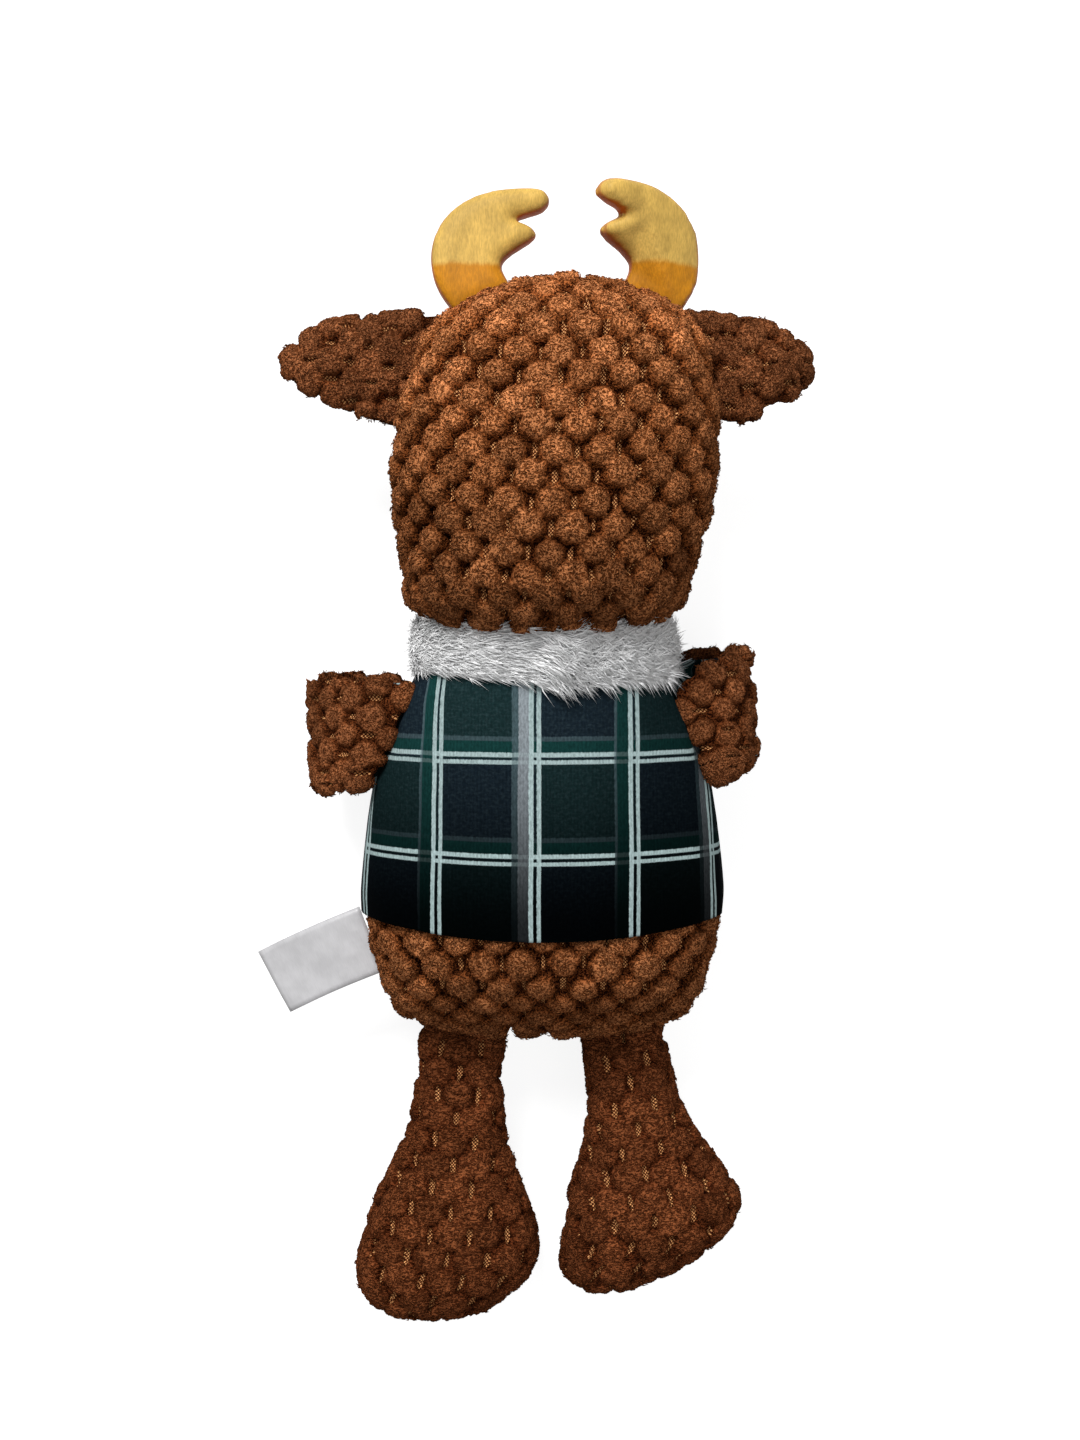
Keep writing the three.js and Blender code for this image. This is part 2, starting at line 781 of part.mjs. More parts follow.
// Collar: a fur band round the neck, squeezed between the head and the shoulders
const collarHalfWidth = neckHalfWidth + collarSideReach;
const collarHalfDepth = neckRadius + collarTopReach;
function collarRing() {
  const profile = [];
  const sides = 12;
  for (let i = 0; i <= sides; i += 1) {
    const angle = (2 * Math.PI * i) / sides;
    const out = collarHalfWidth + (collarThickness / 2) * (Math.cos(angle) - 1);
    profile.push(new THREE.Vector2(out, (collarWidth / 2) * Math.sin(angle)));
  }
  const ring = new THREE.LatheGeometry(profile, 32);
  ring.scale(1, 1, collarHalfDepth / collarHalfWidth);
  return ring;
}
add(
  "collar",
  cut(
    solidOf(collarRing(), limbFrame(0, neckY, neckZ, collarTilt)),
    headClear,
    solidOf(stuffed(trunk, -sewnGap)),
  ),
  whiteFur(),
);

// Arms
for (const arm of arms) {
  const middle = armThickness / 2;
  const inverse = arm.frame.clone().invert();
  const clear = [solidOf(tableBox, inverse), solidOf(stuffed(trunk, -sewnGap), inverse)];
  const root = seamRod(armThickness / 2, armWidth, limbFrame(0, 0, 0, 90));
  const layer = (inner, outer) => {
    const strap = solidOf(strapLayer(arm, inner, outer));
    const outside = cut(strap, ...clear);
    return outside.add(strap.intersect(root));
  };
  add(`arm_${arm.side}_plush`, layer(middle - armPlush, middle), brownPlush(), arm.frame);
  add(`arm_${arm.side}_lining`, layer(-middle, armLining - middle), plaidVelour(), arm.frame);
}

// Legs: the cover's cavity is reached by the slot where the leg was turned and filled
for (const leg of legs) {
  const inner = (gap) => {
    const start = 3 * leg.seamRadius;
    const form = { ...leg.form, from: start - legCloth, start: evenRound(start) };
    return solidOf(stuffed(form, legCloth + gap));
  };
  const slot = new THREE.BoxGeometry(legTopWidth / 2, 5 * leg.seamRadius, turningSlot);
  const onTable = solidOf(tableBox, leg.frame.clone().invert());
  const outer = cut(solidOf(stuffed(leg.form)), onTable);
  add(
    `leg_${leg.side}_cover`,
    cut(outer, inner(0), solidOf(slot.translate(0, 1.5 * leg.seamRadius, 0))),
    brownPlush(),
    leg.frame,
  );
  add(`leg_${leg.side}_filling`, cut(inner(sewnGap), onTable), fibre(), leg.frame);
}

// Care label: a satin strip sewn into the side seam, drooping towards its end
const labelRoot = sideAt(labelY) + sewnGap;
const labelFrame = limbFrame(-labelRoot, labelY, trunkMiddle, 180 + labelTurn);
const labelSlope = sideAt(labelY + labelWidth / 2) - sideAt(labelY - labelWidth / 2);
const labelSeamTurn = THREE.MathUtils.radToDeg(Math.atan2(labelSlope, labelWidth));
const labelSeam = limbFrame(-labelRoot, labelY, trunkMiddle, 180 + labelSeamTurn);
function labelStrip() {
  const outline = new THREE.Shape();
  const half = labelThickness / 2;
  const end = labelLength;
  const tuck = -labelWidth / 4;
  outline.moveTo(tuck, half);
  outline.lineTo(0, half);
  outline.quadraticCurveTo(end / 2, half, end, half - labelDroop);
  outline.lineTo(end, -half - labelDroop);
  outline.quadraticCurveTo(end / 2, -half, 0, -half);
  outline.lineTo(tuck, -half);
  outline.closePath();
  const strip = new THREE.ExtrudeGeometry(outline, {
    depth: labelWidth,
    curveSegments: 8,
    bevelEnabled: false,
  });
  return strip.translate(0, 0, -labelWidth / 2).rotateX(Math.PI / 2);
}
add(
  "care_label",
  cut(solidOf(labelStrip()), solidOf(stuffed(trunk, -sewnGap), labelFrame.clone().invert())),
  whiteSatin(),
  labelFrame,
);

// Seams that the pieces swing about: each a point on the axis and the axis' direction
const alongX = new THREE.Vector3(1, 0, 0);
const alongY = new THREE.Vector3(0, 1, 0);
const downY = new THREE.Vector3(0, -1, 0);
function seam(name, frame, along, range) {
  const point = new THREE.Vector3().setFromMatrixPosition(frame);
  const axis = along.clone().transformDirection(frame);
  return { name, point, axis, range };
}
group.userData.seams = [
  seam("neck_nod", limbFrame(0, neckY, neckZ, 0), alongX, [-16, 16]),
  ...legs.map((leg) => seam(`hip_${leg.side}`, leg.frame, alongX, [-65, 65])),
  ...arms.map((arm) => seam(`shoulder_${arm.side}`, arm.frame, downY, [-5, 60])),
  ...ears.map((ear) => seam(`ear_fold_${ear.side}`, ear.frame, alongX, [-27, 27])),
  ...antlers.map((antler) => seam(`antler_bend_${antler.side}`, antler.frame, alongX, [-40, 32])),
  seam("label_flap", labelSeam, downY, [-45, 45]),
];

export default group;
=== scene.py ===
"""Plush deer on its belly: bobbled skins, plaid jacket, fur collar and padded antlers."""

import json
import logging
import math
from collections.abc import Sequence
from dataclasses import dataclass, field, replace
from enum import Enum

import bmesh
import bpy
import numpy as np
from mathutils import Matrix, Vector, noise
from mathutils.bvhtree import BVHTree
from mathutils.kdtree import KDTree


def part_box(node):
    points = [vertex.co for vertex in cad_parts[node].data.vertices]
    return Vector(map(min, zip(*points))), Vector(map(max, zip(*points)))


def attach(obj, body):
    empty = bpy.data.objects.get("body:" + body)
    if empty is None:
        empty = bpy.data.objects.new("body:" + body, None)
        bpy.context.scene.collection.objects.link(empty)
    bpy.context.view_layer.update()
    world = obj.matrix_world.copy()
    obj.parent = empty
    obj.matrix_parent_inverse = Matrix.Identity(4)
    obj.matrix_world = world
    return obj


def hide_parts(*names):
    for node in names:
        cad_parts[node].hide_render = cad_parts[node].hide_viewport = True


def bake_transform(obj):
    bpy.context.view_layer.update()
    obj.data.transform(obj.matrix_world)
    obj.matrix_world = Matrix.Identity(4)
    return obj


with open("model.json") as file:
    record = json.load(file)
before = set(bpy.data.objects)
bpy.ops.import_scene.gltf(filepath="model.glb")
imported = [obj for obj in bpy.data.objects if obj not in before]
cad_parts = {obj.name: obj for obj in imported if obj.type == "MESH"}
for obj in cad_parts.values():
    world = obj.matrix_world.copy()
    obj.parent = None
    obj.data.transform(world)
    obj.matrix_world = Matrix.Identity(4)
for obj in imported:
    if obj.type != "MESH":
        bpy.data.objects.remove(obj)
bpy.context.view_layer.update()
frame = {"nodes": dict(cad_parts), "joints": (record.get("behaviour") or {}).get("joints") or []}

logging.basicConfig(level=logging.INFO, format="%(message)s")
log = logging.getLogger("plush_deer")

MM = 0.001
# Height over the table to which the forms' undersides are pressed
TABLE_GAP = 0.2 * MM
# Levels of a noise texture that a ramp starts and ends at, so that it has dark and light spots
SPOTS = (0.3, 0.7)
# Slices along a form in which its width is measured, and the steps of the table of arc lengths
SLICES = 40
TURNS = 64
FLATS = 32
Colour = tuple[float, float, float]
Span = tuple[float, float]
Triple = tuple[float, float, float]
Face = tuple[int, ...]
Socket = bpy.types.NodeSocket
# What a socket is fed with: another socket, a number or a colour
Fed = Socket | float | Colour


def srgb(red: int, green: int, blue: int) -> Colour:
    """Turns a colour as it is seen on a screen, 0 to 255, into the linear one that a shader takes."""

    def linear(level: int) -> float:
        """Undoes the screen's curve on one channel."""
        share = level / 255
        return share / 12.92 if share <= 0.04045 else ((share + 0.055) / 1.055) ** 2.4

    return linear(red), linear(green), linear(blue)


class Side(Enum):
    """The side of the toy that a piece is sewn on, as its back is seen."""

    LEFT = "left"
    RIGHT = "right"

    @property
    def sign(self) -> int:
        """Direction of this side along X."""
        return -1 if self is Side.LEFT else 1


def joint(name: str) -> dict:
    """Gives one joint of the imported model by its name."""
    return next(row for row in frame["joints"] if row["name"] == name)


def joint_point(name: str) -> Vector:
    """Gives the point that a joint turns about."""
    return Vector(joint(name)["pos_m"])


class Bench:
    """One material's node tree, with short calls that add and join nodes."""

    def __init__(self, name: str) -> None:
        """Starts an empty tree with an output and a principled shader.

        Args:
            name: The material's name.
        """
        self.material = bpy.data.materials.new(name)
        self.material.use_nodes = True
        self.tree = self.material.node_tree
        self.tree.nodes.clear()
        self.shader = self.add("ShaderNodeBsdfPrincipled")
        output = self.add("ShaderNodeOutputMaterial")
        self.tree.links.new(self.shader.outputs[0], output.inputs[0])

    def add(self, kind: str, **settings: object) -> bpy.types.Node:
        """Adds a node and sets its properties."""
        node = self.tree.nodes.new(kind)
        for key, value in settings.items():
            setattr(node, key, value)
        return node

    def feed(self, socket: Socket, value: Fed) -> None:
        """Links a socket to another one, or sets its value."""
        if isinstance(value, Socket):
            self.tree.links.new(value, socket)
        elif isinstance(value, tuple) and socket.type == "RGBA":
            socket.default_value = (*value, 1.0)
        else:
            socket.default_value = value

    def maths(self, operation: str, first: Fed, second: Fed = 0.0, third: Fed = 0.0) -> Socket:
        """Works out one sum and returns its socket."""
        node = self.add("ShaderNodeMath", operation=operation)
        for socket, value in zip(node.inputs, (first, second, third)):
            self.feed(socket, value)
        return node.outputs[0]

    def product(self, first: Fed, *others: Fed) -> Fed:
        """Multiplies numbers and returns the product's socket."""
        for other in others:
            first = self.maths("MULTIPLY", first, other)
        return first

    def ramp(self, value: Fed, low: float, high: float, start: float = 0.0, end: float = 1.0) -> Socket:
        """Maps a value smoothly from low and high to start and end."""
        node = self.add("ShaderNodeMapRange", interpolation_type="SMOOTHSTEP")
        for socket, fed in zip(node.inputs, (value, low, high, start, end)):
            self.feed(socket, fed)
        return node.outputs[0]

    def mix(self, share: Fed, first: Fed, second: Fed, blend: str = "MIX") -> Socket:
        """Mixes two colours by a share and returns the colour's socket."""
        node = self.add("ShaderNodeMix", data_type="RGBA", blend_type=blend)
        self.feed(node.inputs[0], share)
        self.feed(node.inputs[6], first)
        self.feed(node.inputs[7], second)
        return node.outputs[2]

    def shaded(self, colour: Fed, *shades: Fed) -> Socket:
        """Multiplies a colour by numbers and returns the colour's socket."""
        grey = self.add("ShaderNodeCombineColor")
        shade = self.product(*shades)
        for socket in grey.inputs:
            self.feed(socket, shade)
        return self.mix(1.0, colour, grey.outputs[0], "MULTIPLY")

    def attribute(self, name: str) -> Socket:
        """Reads a number that the mesh holds at each point."""
        return self.add("ShaderNodeAttribute", attribute_name=name).outputs["Fac"]

    def here(self) -> Socket:
        """Gives the place on the piece, in metres."""
        return self.add("ShaderNodeTexCoord").outputs["Object"]

    def cloth(self) -> Socket:
        """Gives the place on the cloth, in millimetres."""
        return self.add("ShaderNodeUVMap", uv_map="cloth").outputs[0]

    def split(self, vector: Socket) -> Sequence[Socket]:
        """Gives the three numbers of a vector."""
        node = self.add("ShaderNodeSeparateXYZ")
        self.feed(node.inputs[0], vector)
        return node.outputs

    def scaled(self, vector: Socket, x: float, y: float, z: float) -> Socket:
        """Stretches coordinates by a factor along each axis."""
        node = self.add("ShaderNodeMapping", vector_type="POINT")
        self.feed(node.inputs["Vector"], vector)
        node.inputs["Scale"].default_value = (x, y, z)
        return node.outputs[0]

    def noise(
        self, vector: Socket, size: float, detail: float = 2.0, roughness: float = 0.5, output: int = 0
    ) -> Socket:
        """Gives noise whose spots are about one size across, in the vector's own unit."""
        node = self.add("ShaderNodeTexNoise")
        self.feed(node.inputs["Vector"], vector)
        node.inputs["Scale"].default_value = 1 / size
        node.inputs["Detail"].default_value = detail
        node.inputs["Roughness"].default_value = roughness
        return node.outputs[output]

    def bump(self, height: Socket, distance: float, strength: float = 1.0) -> Socket:
        """Gives a normal that a height of at most that distance has tilted."""
        node = self.add("ShaderNodeBump")
        node.inputs["Strength"].default_value = strength
        node.inputs["Distance"].default_value = distance
        self.feed(node.inputs["Height"], height)
        return node.outputs[0]

    def finish(
        self, colour: Fed, roughness: float, normal: Socket | None = None, **constants: Fed
    ) -> bpy.types.Material:
        """Joins the shader and returns the material.

        Args:
            colour: A colour or its socket.
            roughness: The same all over.
            normal: A bump's socket, or None.
            **constants: Other inputs of the shader, with a space in a name as an underscore.

        Returns:
            The finished material.
        """
        self.feed(self.shader.inputs["Base Color"], colour)
        self.shader.inputs["Roughness"].default_value = roughness
        if normal is not None:
            self.feed(self.shader.inputs["Normal"], normal)
        for key, value in constants.items():
            self.feed(self.shader.inputs[key.replace("_", " ")], value)
        return self.material


@dataclass(frozen=True)
class BobblePlush:
    """Brown plush with bobbles: curly fuzzy tufts with a painted highlight on their tops, painted shade in
    the pits, and a knit ground that shows in the slits.

    The painted light grade holds two places along the toy and the plush's lightness at each, so that the
    plush is painted lighter towards the end that the light comes from. The loops of the knit are in
    millimetres.
    """

    name: str
    tuft: Colour = srgb(118, 64, 33)
    # Painted highlight: the colour of the bobbles' tops and the pile's high ridges, where the light catches
    # them
    tip: Colour = srgb(154, 96, 60)
    # Painted shade: the colour of the pits between the bobbles and of the locks' roots, where the shade falls
    crease: Colour = srgb(40, 12, 3)
    ground: Colour = srgb(88, 38, 18)
    stitch: Colour = srgb(255, 186, 120)
    pile: float = 0.8 * MM
    comb: Triple = (1.0, 1.0, 1.0)
    painted_light_grade: tuple[float, float, float, float] = (0.0, 1.0, 1.0, 1.0)
    tones: Span = (0.76, 1.22)
    flecks: Span = (0.5, 1.2)
    patches: Span = (0.86, 1.14)
    patch_piles: float = 5.0
    curl_piles: float = 2.2
    curled: float = 1.6
    ridge: float = 0.16
    painted_shade_depths: Span = (-0.1, 0.5)
    painted_highlight_heights: Span = (0.45, 1.05)
    loops: Span = (0.42, 0.68)
    bared: Span = (0.35, 0.7)
    relief: float = 0.5 * MM
    loop_width: float = 1.05
    loop_length: float = 1.25

    def material(self) -> bpy.types.Material:
        """Builds the plush from the mesh's pile, tone and slit attributes and its cloth coordinates."""
        bench = Bench(self.name)
        here = bench.here()
        height = bench.attribute("pile")
        worms = self.worms(bench, here)
        clump = bench.noise(here, self.patch_piles * self.pile)
        # Painted shade: the low places of the pile take the crease colour
        depth = bench.maths("MULTIPLY_ADD", worms, 0.35, bench.maths("MULTIPLY_ADD", height, 0.9, -0.3))
        colour = bench.mix(bench.ramp(depth, *self.painted_shade_depths), self.crease, self.tuft)
        # Painted highlight: the high ridges of the pile take the tip colour
        lift = bench.product(bench.ramp(height, *self.painted_highlight_heights), bench.ramp(worms, 0.25, 0.75))
        colour = bench.mix(lift, colour, self.tip)
        tone = bench.ramp(bench.attribute("tone"), 0.0, 1.0, *self.tones)
        flecks = bench.ramp(worms, 0.05, 0.7, *self.flecks)
        patches = bench.ramp(clump, *SPOTS, *self.patches)
        # Painted light: lighter along the toy towards the end that the light comes from
        painted_light_grade = bench.ramp(bench.split(here)[1], *self.painted_light_grade)
        colour = bench.shaded(colour, tone, flecks, patches, painted_light_grade)
        knit = bench.mix(self.stitches(bench), self.ground, self.stitch)
        colour = bench.mix(bench.ramp(bench.attribute("slit"), *self.bared), colour, knit)
        return bench.finish(colour, 1.0, bench.bump(worms, self.relief), Specular_IOR_Level=0.02)

    def worms(self, bench: Bench, here: Socket) -> Socket:
        """Gives the curled fibres of the pile: bent ridges, high along the middle."""
        bent = bench.add("ShaderNodeVectorMath", operation="MULTIPLY_ADD")
        bench.feed(bent.inputs[0], bench.noise(here, self.curl_piles * self.pile, output=1))
        bent.inputs[1].default_value = (self.curled * self.pile,) * 3
        bench.feed(bent.inputs[2], bench.scaled(here, *self.comb))
        grain = bench.noise(bent.outputs[0], self.pile, 1.0)
        ridge = bench.maths("ABSOLUTE", bench.maths("SUBTRACT", grain, 0.5))
        return bench.ramp(ridge, 0.0, self.ridge, 1.0, 0.0)

    def stitches(self, bench: Bench) -> Socket:
        """Draws the slanting rows of pale knit loops at the bottom of the slits."""
        cloth = bench.split(bench.cloth())
        across = bench.product(cloth[0], math.pi / self.loop_width)
        along = bench.product(cloth[1], math.pi / self.loop_length)
        rising = bench.maths("SINE", bench.maths("ADD", across, along))
        falling = bench.maths("SINE", bench.maths("SUBTRACT", across, along))
        return bench.ramp(bench.maths("ABSOLUTE", bench.product(rising, falling)), *self.loops)


@dataclass(frozen=True)
class PlaidVelour:
    """Printed velour: a dark tartan with pairs of pale lines, drawn in the cloth's own millimetres.

    Each band says where it starts and ends beside its line, and how far it covers what is under it.
    """

    name: str
    column: float = 33.6
    row: float = 34.4
    first_column: float = -36.1
    first_row: float = 36.8
    navy: Colour = srgb(13, 21, 27)
    bottle: Colour = srgb(13, 27, 28)
    green: Colour = srgb(12, 40, 38)
    grey: Colour = srgb(104, 110, 114)
    haze: Colour = srgb(54, 68, 72)
    line: Colour = srgb(160, 180, 180)
    hazy_row: Triple = (-7.6, -6.0, 0.5)
    green_row: Triple = (-6.0, -2.0, 0.9)
    green_column: Triple = (-6.2, -2.1, 0.9)
    green_edge: Triple = (-6.9, -6.0, 0.75)
    grey_edge: Triple = (-8.0, -5.8, 0.7)
    grey_column: Triple = (-5.8, -2.0, 0.88)
    pale_lines: tuple[Triple, Triple] = ((-2.1, -0.6, 0.95), (0.5, 1.85, 0.92))
    band_side: float = 0.3
    ragged: float = 0.5
    soft_edge: float = 0.2
    wisps: Span = (0.0, 0.15)
    # Painted light and shade: the dark print is lighter towards the neck and the left, darker towards the hem
    # and the right
    painted_light_along: tuple[float, float, float, float] = (-24.0, 66.0, 0.06, 2.0)
    painted_light_across: tuple[float, float, float, float] = (5.0, 45.0, 1.1, 0.55)
    rib: float = 1.2
    rib_shade: Span = (0.93, 1.05)
    slub_shade: Span = (0.74, 1.2)
    relief: float = 0.18 * MM

    def material(self) -> bpy.types.Material:
        """Lays the ground, then the rows, then the columns over them, as the print does."""
        bench = Bench(self.name)
        place = bench.cloth()
        cloth = bench.split(place)
        slub = bench.noise(bench.scaled(place, 1.0, 0.4, 1.0), 0.7, 3.0, 0.65)
        wisps = bench.noise(bench.scaled(place, 0.5, 1.0, 1.0), 0.9, 3.0, 0.6)
        beside = bench.maths("SUBTRACT", cloth[0], self.first_column)
        below = bench.maths("SUBTRACT", self.first_row, cloth[1])
        # Distance from the middle of the nearest pale pair, across the columns and down the rows
        every = self.repeated(bench, beside, self.column)
        alternate = self.repeated(bench, beside, 2 * self.column)
        down = self.repeated(bench, below, self.row)
        first = bench.maths("LESS_THAN", bench.maths("ABSOLUTE", alternate), self.column / 2)
        second = bench.maths("SUBTRACT", 1.0, first)
        odd_column = self.is_odd(bench, beside, self.column)
        odd_row = self.is_odd(bench, below, self.row)
        checks = bench.maths("COMPARE", odd_column, odd_row, 0.5)
        colour = bench.mix(checks, self.bottle, self.navy)
        layers = (
            (bench.ramp(wisps, 0.4, 0.75, *self.wisps), self.haze),
            (self.band(bench, down, slub, self.hazy_row), self.haze),
            (self.band(bench, down, slub, self.green_row), self.green),
            (self.pair(bench, down, slub), self.line),
            (bench.product(first, self.band(bench, every, slub, self.green_column)), self.green),
            (bench.product(first, self.band(bench, every, slub, self.green_edge)), self.haze),
            (bench.product(second, self.band(bench, every, slub, self.grey_edge)), self.haze),
            (bench.product(second, self.band(bench, every, slub, self.grey_column)), self.grey),
            (self.pair(bench, every, slub), self.line),
        )
        for share, paint in layers:
            colour = bench.mix(share, colour, paint)
        # Painted light and shade on the dark print: lighter towards the neck and the left, darker towards the
        # hem and the right
        painted_light_factor = bench.product(bench.ramp(cloth[1], *self.painted_light_along), bench.ramp(cloth[0], *self.painted_light_across))
        ribs = bench.maths("SINE", bench.product(cloth[0], 2 * math.pi / self.rib))
        slubs = bench.ramp(slub, *SPOTS, *self.slub_shade)
        shade = bench.product(slubs, bench.ramp(ribs, -1.0, 1.0, *self.rib_shade))
        dark = bench.shaded(colour, shade, painted_light_factor)
        pale = bench.shaded(colour, shade)
        lightness = bench.add("ShaderNodeRGBToBW")
        bench.feed(lightness.inputs[0], colour)
        colour = bench.mix(bench.ramp(lightness.outputs[0], 0.1, 0.4), dark, pale)
        return bench.finish(colour, 1.0, bench.bump(slub, self.relief, 0.7), Specular_IOR_Level=0.01)

    def repeated(self, bench: Bench, distance: Socket, pitch: float) -> Socket:
        """Gives the distance from the nearest line of a family, below nought on its band's side."""
        return bench.maths("WRAP", distance, (1 - self.band_side) * pitch, -self.band_side * pitch)

    @staticmethod
    def is_odd(bench: Bench, distance: Socket, pitch: float) -> Socket:
        """Tells odd squares from even ones along one direction."""
        return bench.maths("WRAP", bench.maths("FLOOR", bench.maths("DIVIDE", distance, pitch)), 2.0, 0.0)

    def band(self, bench: Bench, place: Socket, slub: Socket, band: Triple) -> Socket:
        """Gives a band between two places, with an edge that the slubs break up.

        Args:
            bench: The material's bench.
            place: Distance across the stripe, in millimetres.
            slub: Noise that moves the edge.
            band: Where the band starts and ends, and how far it covers what is under it.

        Returns:
            The socket of the band's share.
        """
        low, high, strength = band
        half = (high - low) / 2
        moved = bench.maths("ADD", place, bench.maths("MULTIPLY_ADD", slub, self.ragged, -self.ragged / 2))
        away = bench.maths("ABSOLUTE", bench.maths("SUBTRACT", moved, low + half))
        return bench.ramp(away, half - self.soft_edge, half + self.soft_edge, strength, 0.0)

    def pair(self, bench: Bench, place: Socket, slub: Socket) -> Socket:
        """Gives the two pale lines that stand close together."""
        return bench.maths("MAXIMUM", *(self.band(bench, place, slub, line) for line in self.pale_lines))


@dataclass(frozen=True)
class Velboa:
    """Short shiny pile of the antlers: it is brushed up at the top and down at the base. The upper half has a
    painted sheen, and the sides have painted shade.
    """

    name: str
    # Painted sheen: the upper half, brushed up, lighter where it catches the light
    painted_sheen: Colour = srgb(206, 168, 84)
    dull: Colour = srgb(192, 126, 20)
    # Painted shade on the sides, which face away from the light
    edge: Colour = srgb(170, 84, 14)
    nap_line: float = 210 * MM
    nap_fade: float = 1.2 * MM
    nap_wave: float = 3 * MM
    nap_shift: float = -2 * MM
    nap_fray: float = 1.5 * MM
    pile: float = 0.5 * MM
    blotch: float = 7 * MM
    pile_shade: Span = (0.84, 1.12)
    blotch_shade: Span = (0.86, 1.12)
    relief: float = 0.15 * MM

    def material(self) -> bpy.types.Material:
        """Mixes the dull lower half and the painted sheen of the upper half where the brushing turns, and
        paints shade on the sides.
        """
        bench = Bench(self.name)
        here = bench.here()
        pile = bench.noise(bench.scaled(here, 1.0, 0.22, 1.0), self.pile, 2.0, 0.6)
        blotch = bench.noise(bench.scaled(here, 1.0, 0.6, 1.0), self.blotch, 3.0)
        wave = bench.maths("MULTIPLY_ADD", blotch, self.nap_wave, self.nap_shift)
        wave = bench.maths("MULTIPLY_ADD", pile, self.nap_fray, wave)
        above = bench.maths("SUBTRACT", bench.maths("ADD", bench.split(here)[1], wave), self.nap_line)
        # Painted sheen on the upper half
        colour = bench.mix(bench.ramp(above, -self.nap_fade, self.nap_fade), self.dull, self.painted_sheen)
        # Painted shade on the sides
        colour = bench.mix(bench.ramp(bench.attribute("side"), 0.35, 0.75), colour, self.edge)
        fibres = bench.ramp(pile, *SPOTS, *self.pile_shade)
        colour = bench.shaded(colour, fibres, bench.ramp(blotch, *SPOTS, *self.blotch_shade))
        sheen = {"Sheen_Weight": 0.1, "Sheen_Roughness": 0.35, "Sheen_Tint": self.painted_sheen}
        return bench.finish(colour, 0.55, bench.bump(pile, self.relief, 0.6), Specular_IOR_Level=0.2, **sheen)


@dataclass(frozen=True)
class FauxFur:
    """Long pale pile: each strand has its own tone and is darker at the root."""

    name: str
    tip: Colour = srgb(255, 255, 255)
    root: Colour = srgb(246, 246, 247)
    tones: Span = (0.93, 1.0)

    def material(self) -> bpy.types.Material:
        """Builds the fur from the tone and pile that each strand holds."""
        bench = Bench(self.name)
        colour = bench.mix(bench.ramp(bench.attribute("pile"), 0.0, 0.6), self.root, self.tip)
        colour = bench.shaded(colour, bench.ramp(bench.attribute("tone"), 0.0, 1.0, *self.tones))
        return bench.finish(colour, 0.5, Specular_IOR_Level=0.5, Sheen_Weight=0.5, Sheen_Roughness=0.4)


@dataclass(frozen=True)
class ShortPile:
    """Shorn plush of the face."""

    name: str
    colour: Colour
    pile: float = 0.5 * MM
    patch: float = 12 * MM
    relief: float = 0.4 * MM

    def material(self) -> bpy.types.Material:
        """Builds a shorn pile with a fine grain and a slow change of tone."""
        bench = Bench(self.name)
        grain = bench.noise(bench.here(), self.pile, 3.0, 0.6)
        slow = bench.ramp(bench.noise(bench.here(), self.patch), *SPOTS, 0.92, 1.05)
        colour = bench.shaded(self.colour, bench.ramp(grain, *SPOTS, 0.8, 1.12), slow)
        bumps = bench.bump(grain, self.relief, 0.8)
        return bench.finish(colour, 0.9, bumps, Specular_IOR_Level=0.15, Sheen_Weight=0.2)


@dataclass(frozen=True)
class SatinRibbon:
    """Woven satin of the care label, with nothing printed on it. Its rib and patch are in millimetres."""

    name: str
    colour: Colour = srgb(203, 202, 204)
    rib: float = 0.25
    patch: float = 6.0
    relief: float = 0.05 * MM

    def material(self) -> bpy.types.Material:
        """Weaves fine ribs across the ribbon."""
        bench = Bench(self.name)
        place = bench.cloth()
        rib = bench.noise(bench.scaled(place, 0.08, 1.0, 1.0), self.rib)
        slow = bench.ramp(bench.noise(place, self.patch), *SPOTS, 0.9, 1.02)
        colour = bench.shaded(self.colour, bench.ramp(rib, *SPOTS, 0.94, 1.02), slow)
        return bench.finish(colour, 0.35, bench.bump(rib, self.relief, 0.5), Specular_IOR_Level=0.5)


@dataclass(frozen=True)
class ButtonPlastic:
    """Polished dark plastic of the eyes."""

    name: str
    colour: Colour = srgb(16, 11, 9)
    scuff: Colour = srgb(40, 30, 26)
    scuff_size: float = 0.4 * MM
    relief: float = 0.01 * MM

    def material(self) -> bpy.types.Material:
        """Builds a gloss with faint scuffs."""
        bench = Bench(self.name)
        scuffs = bench.noise(bench.here(), self.scuff_size, 3.0)
        colour = bench.mix(bench.ramp(scuffs, 0.6, 0.75), self.colour, self.scuff)
        return bench.finish(colour, 0.16, bench.bump(scuffs, self.relief, 0.3), Coat_Weight=0.6)


def select_only(piece: bpy.types.Object) -> None:
    """Selects one object, and nothing else, and makes it active."""
    bpy.ops.object.select_all(action="DESELECT")
    piece.select_set(True)
    bpy.context.view_layer.objects.active = piece


def join_to(piece: bpy.types.Object, other: bpy.types.Object) -> None:
    """Joins another object to a piece."""
    select_only(piece)
    other.select_set(True)
    bpy.ops.object.join()


def new_piece(name: str, points: list, faces: list[Face]) -> bpy.types.Object:
    """Makes an object from points and faces."""
    mesh = bpy.data.meshes.new(name)
    mesh.from_pydata(points, [], faces)
    piece = bpy.data.objects.new(name, mesh)
    bpy.context.scene.collection.objects.link(piece)
    return piece


def strands_of(name: str, points: np.ndarray, pattern: tuple[Face, ...]) -> bpy.types.Object:
    """Makes one smooth object of many strands that share a pattern of faces.

    Args:
        name: The object's name.
        points: The points of each strand.
        pattern: The faces of one strand, as numbers of its points.

    Returns:
        The new object.
    """
    count, size = points.shape[:2]
    faces = [tuple(size * strand + k for k in face) for strand in range(count) for face in pattern]
    strands = new_piece(name, points.reshape(-1, 3).tolist(), faces)
    shade_smooth(strands)
    return strands


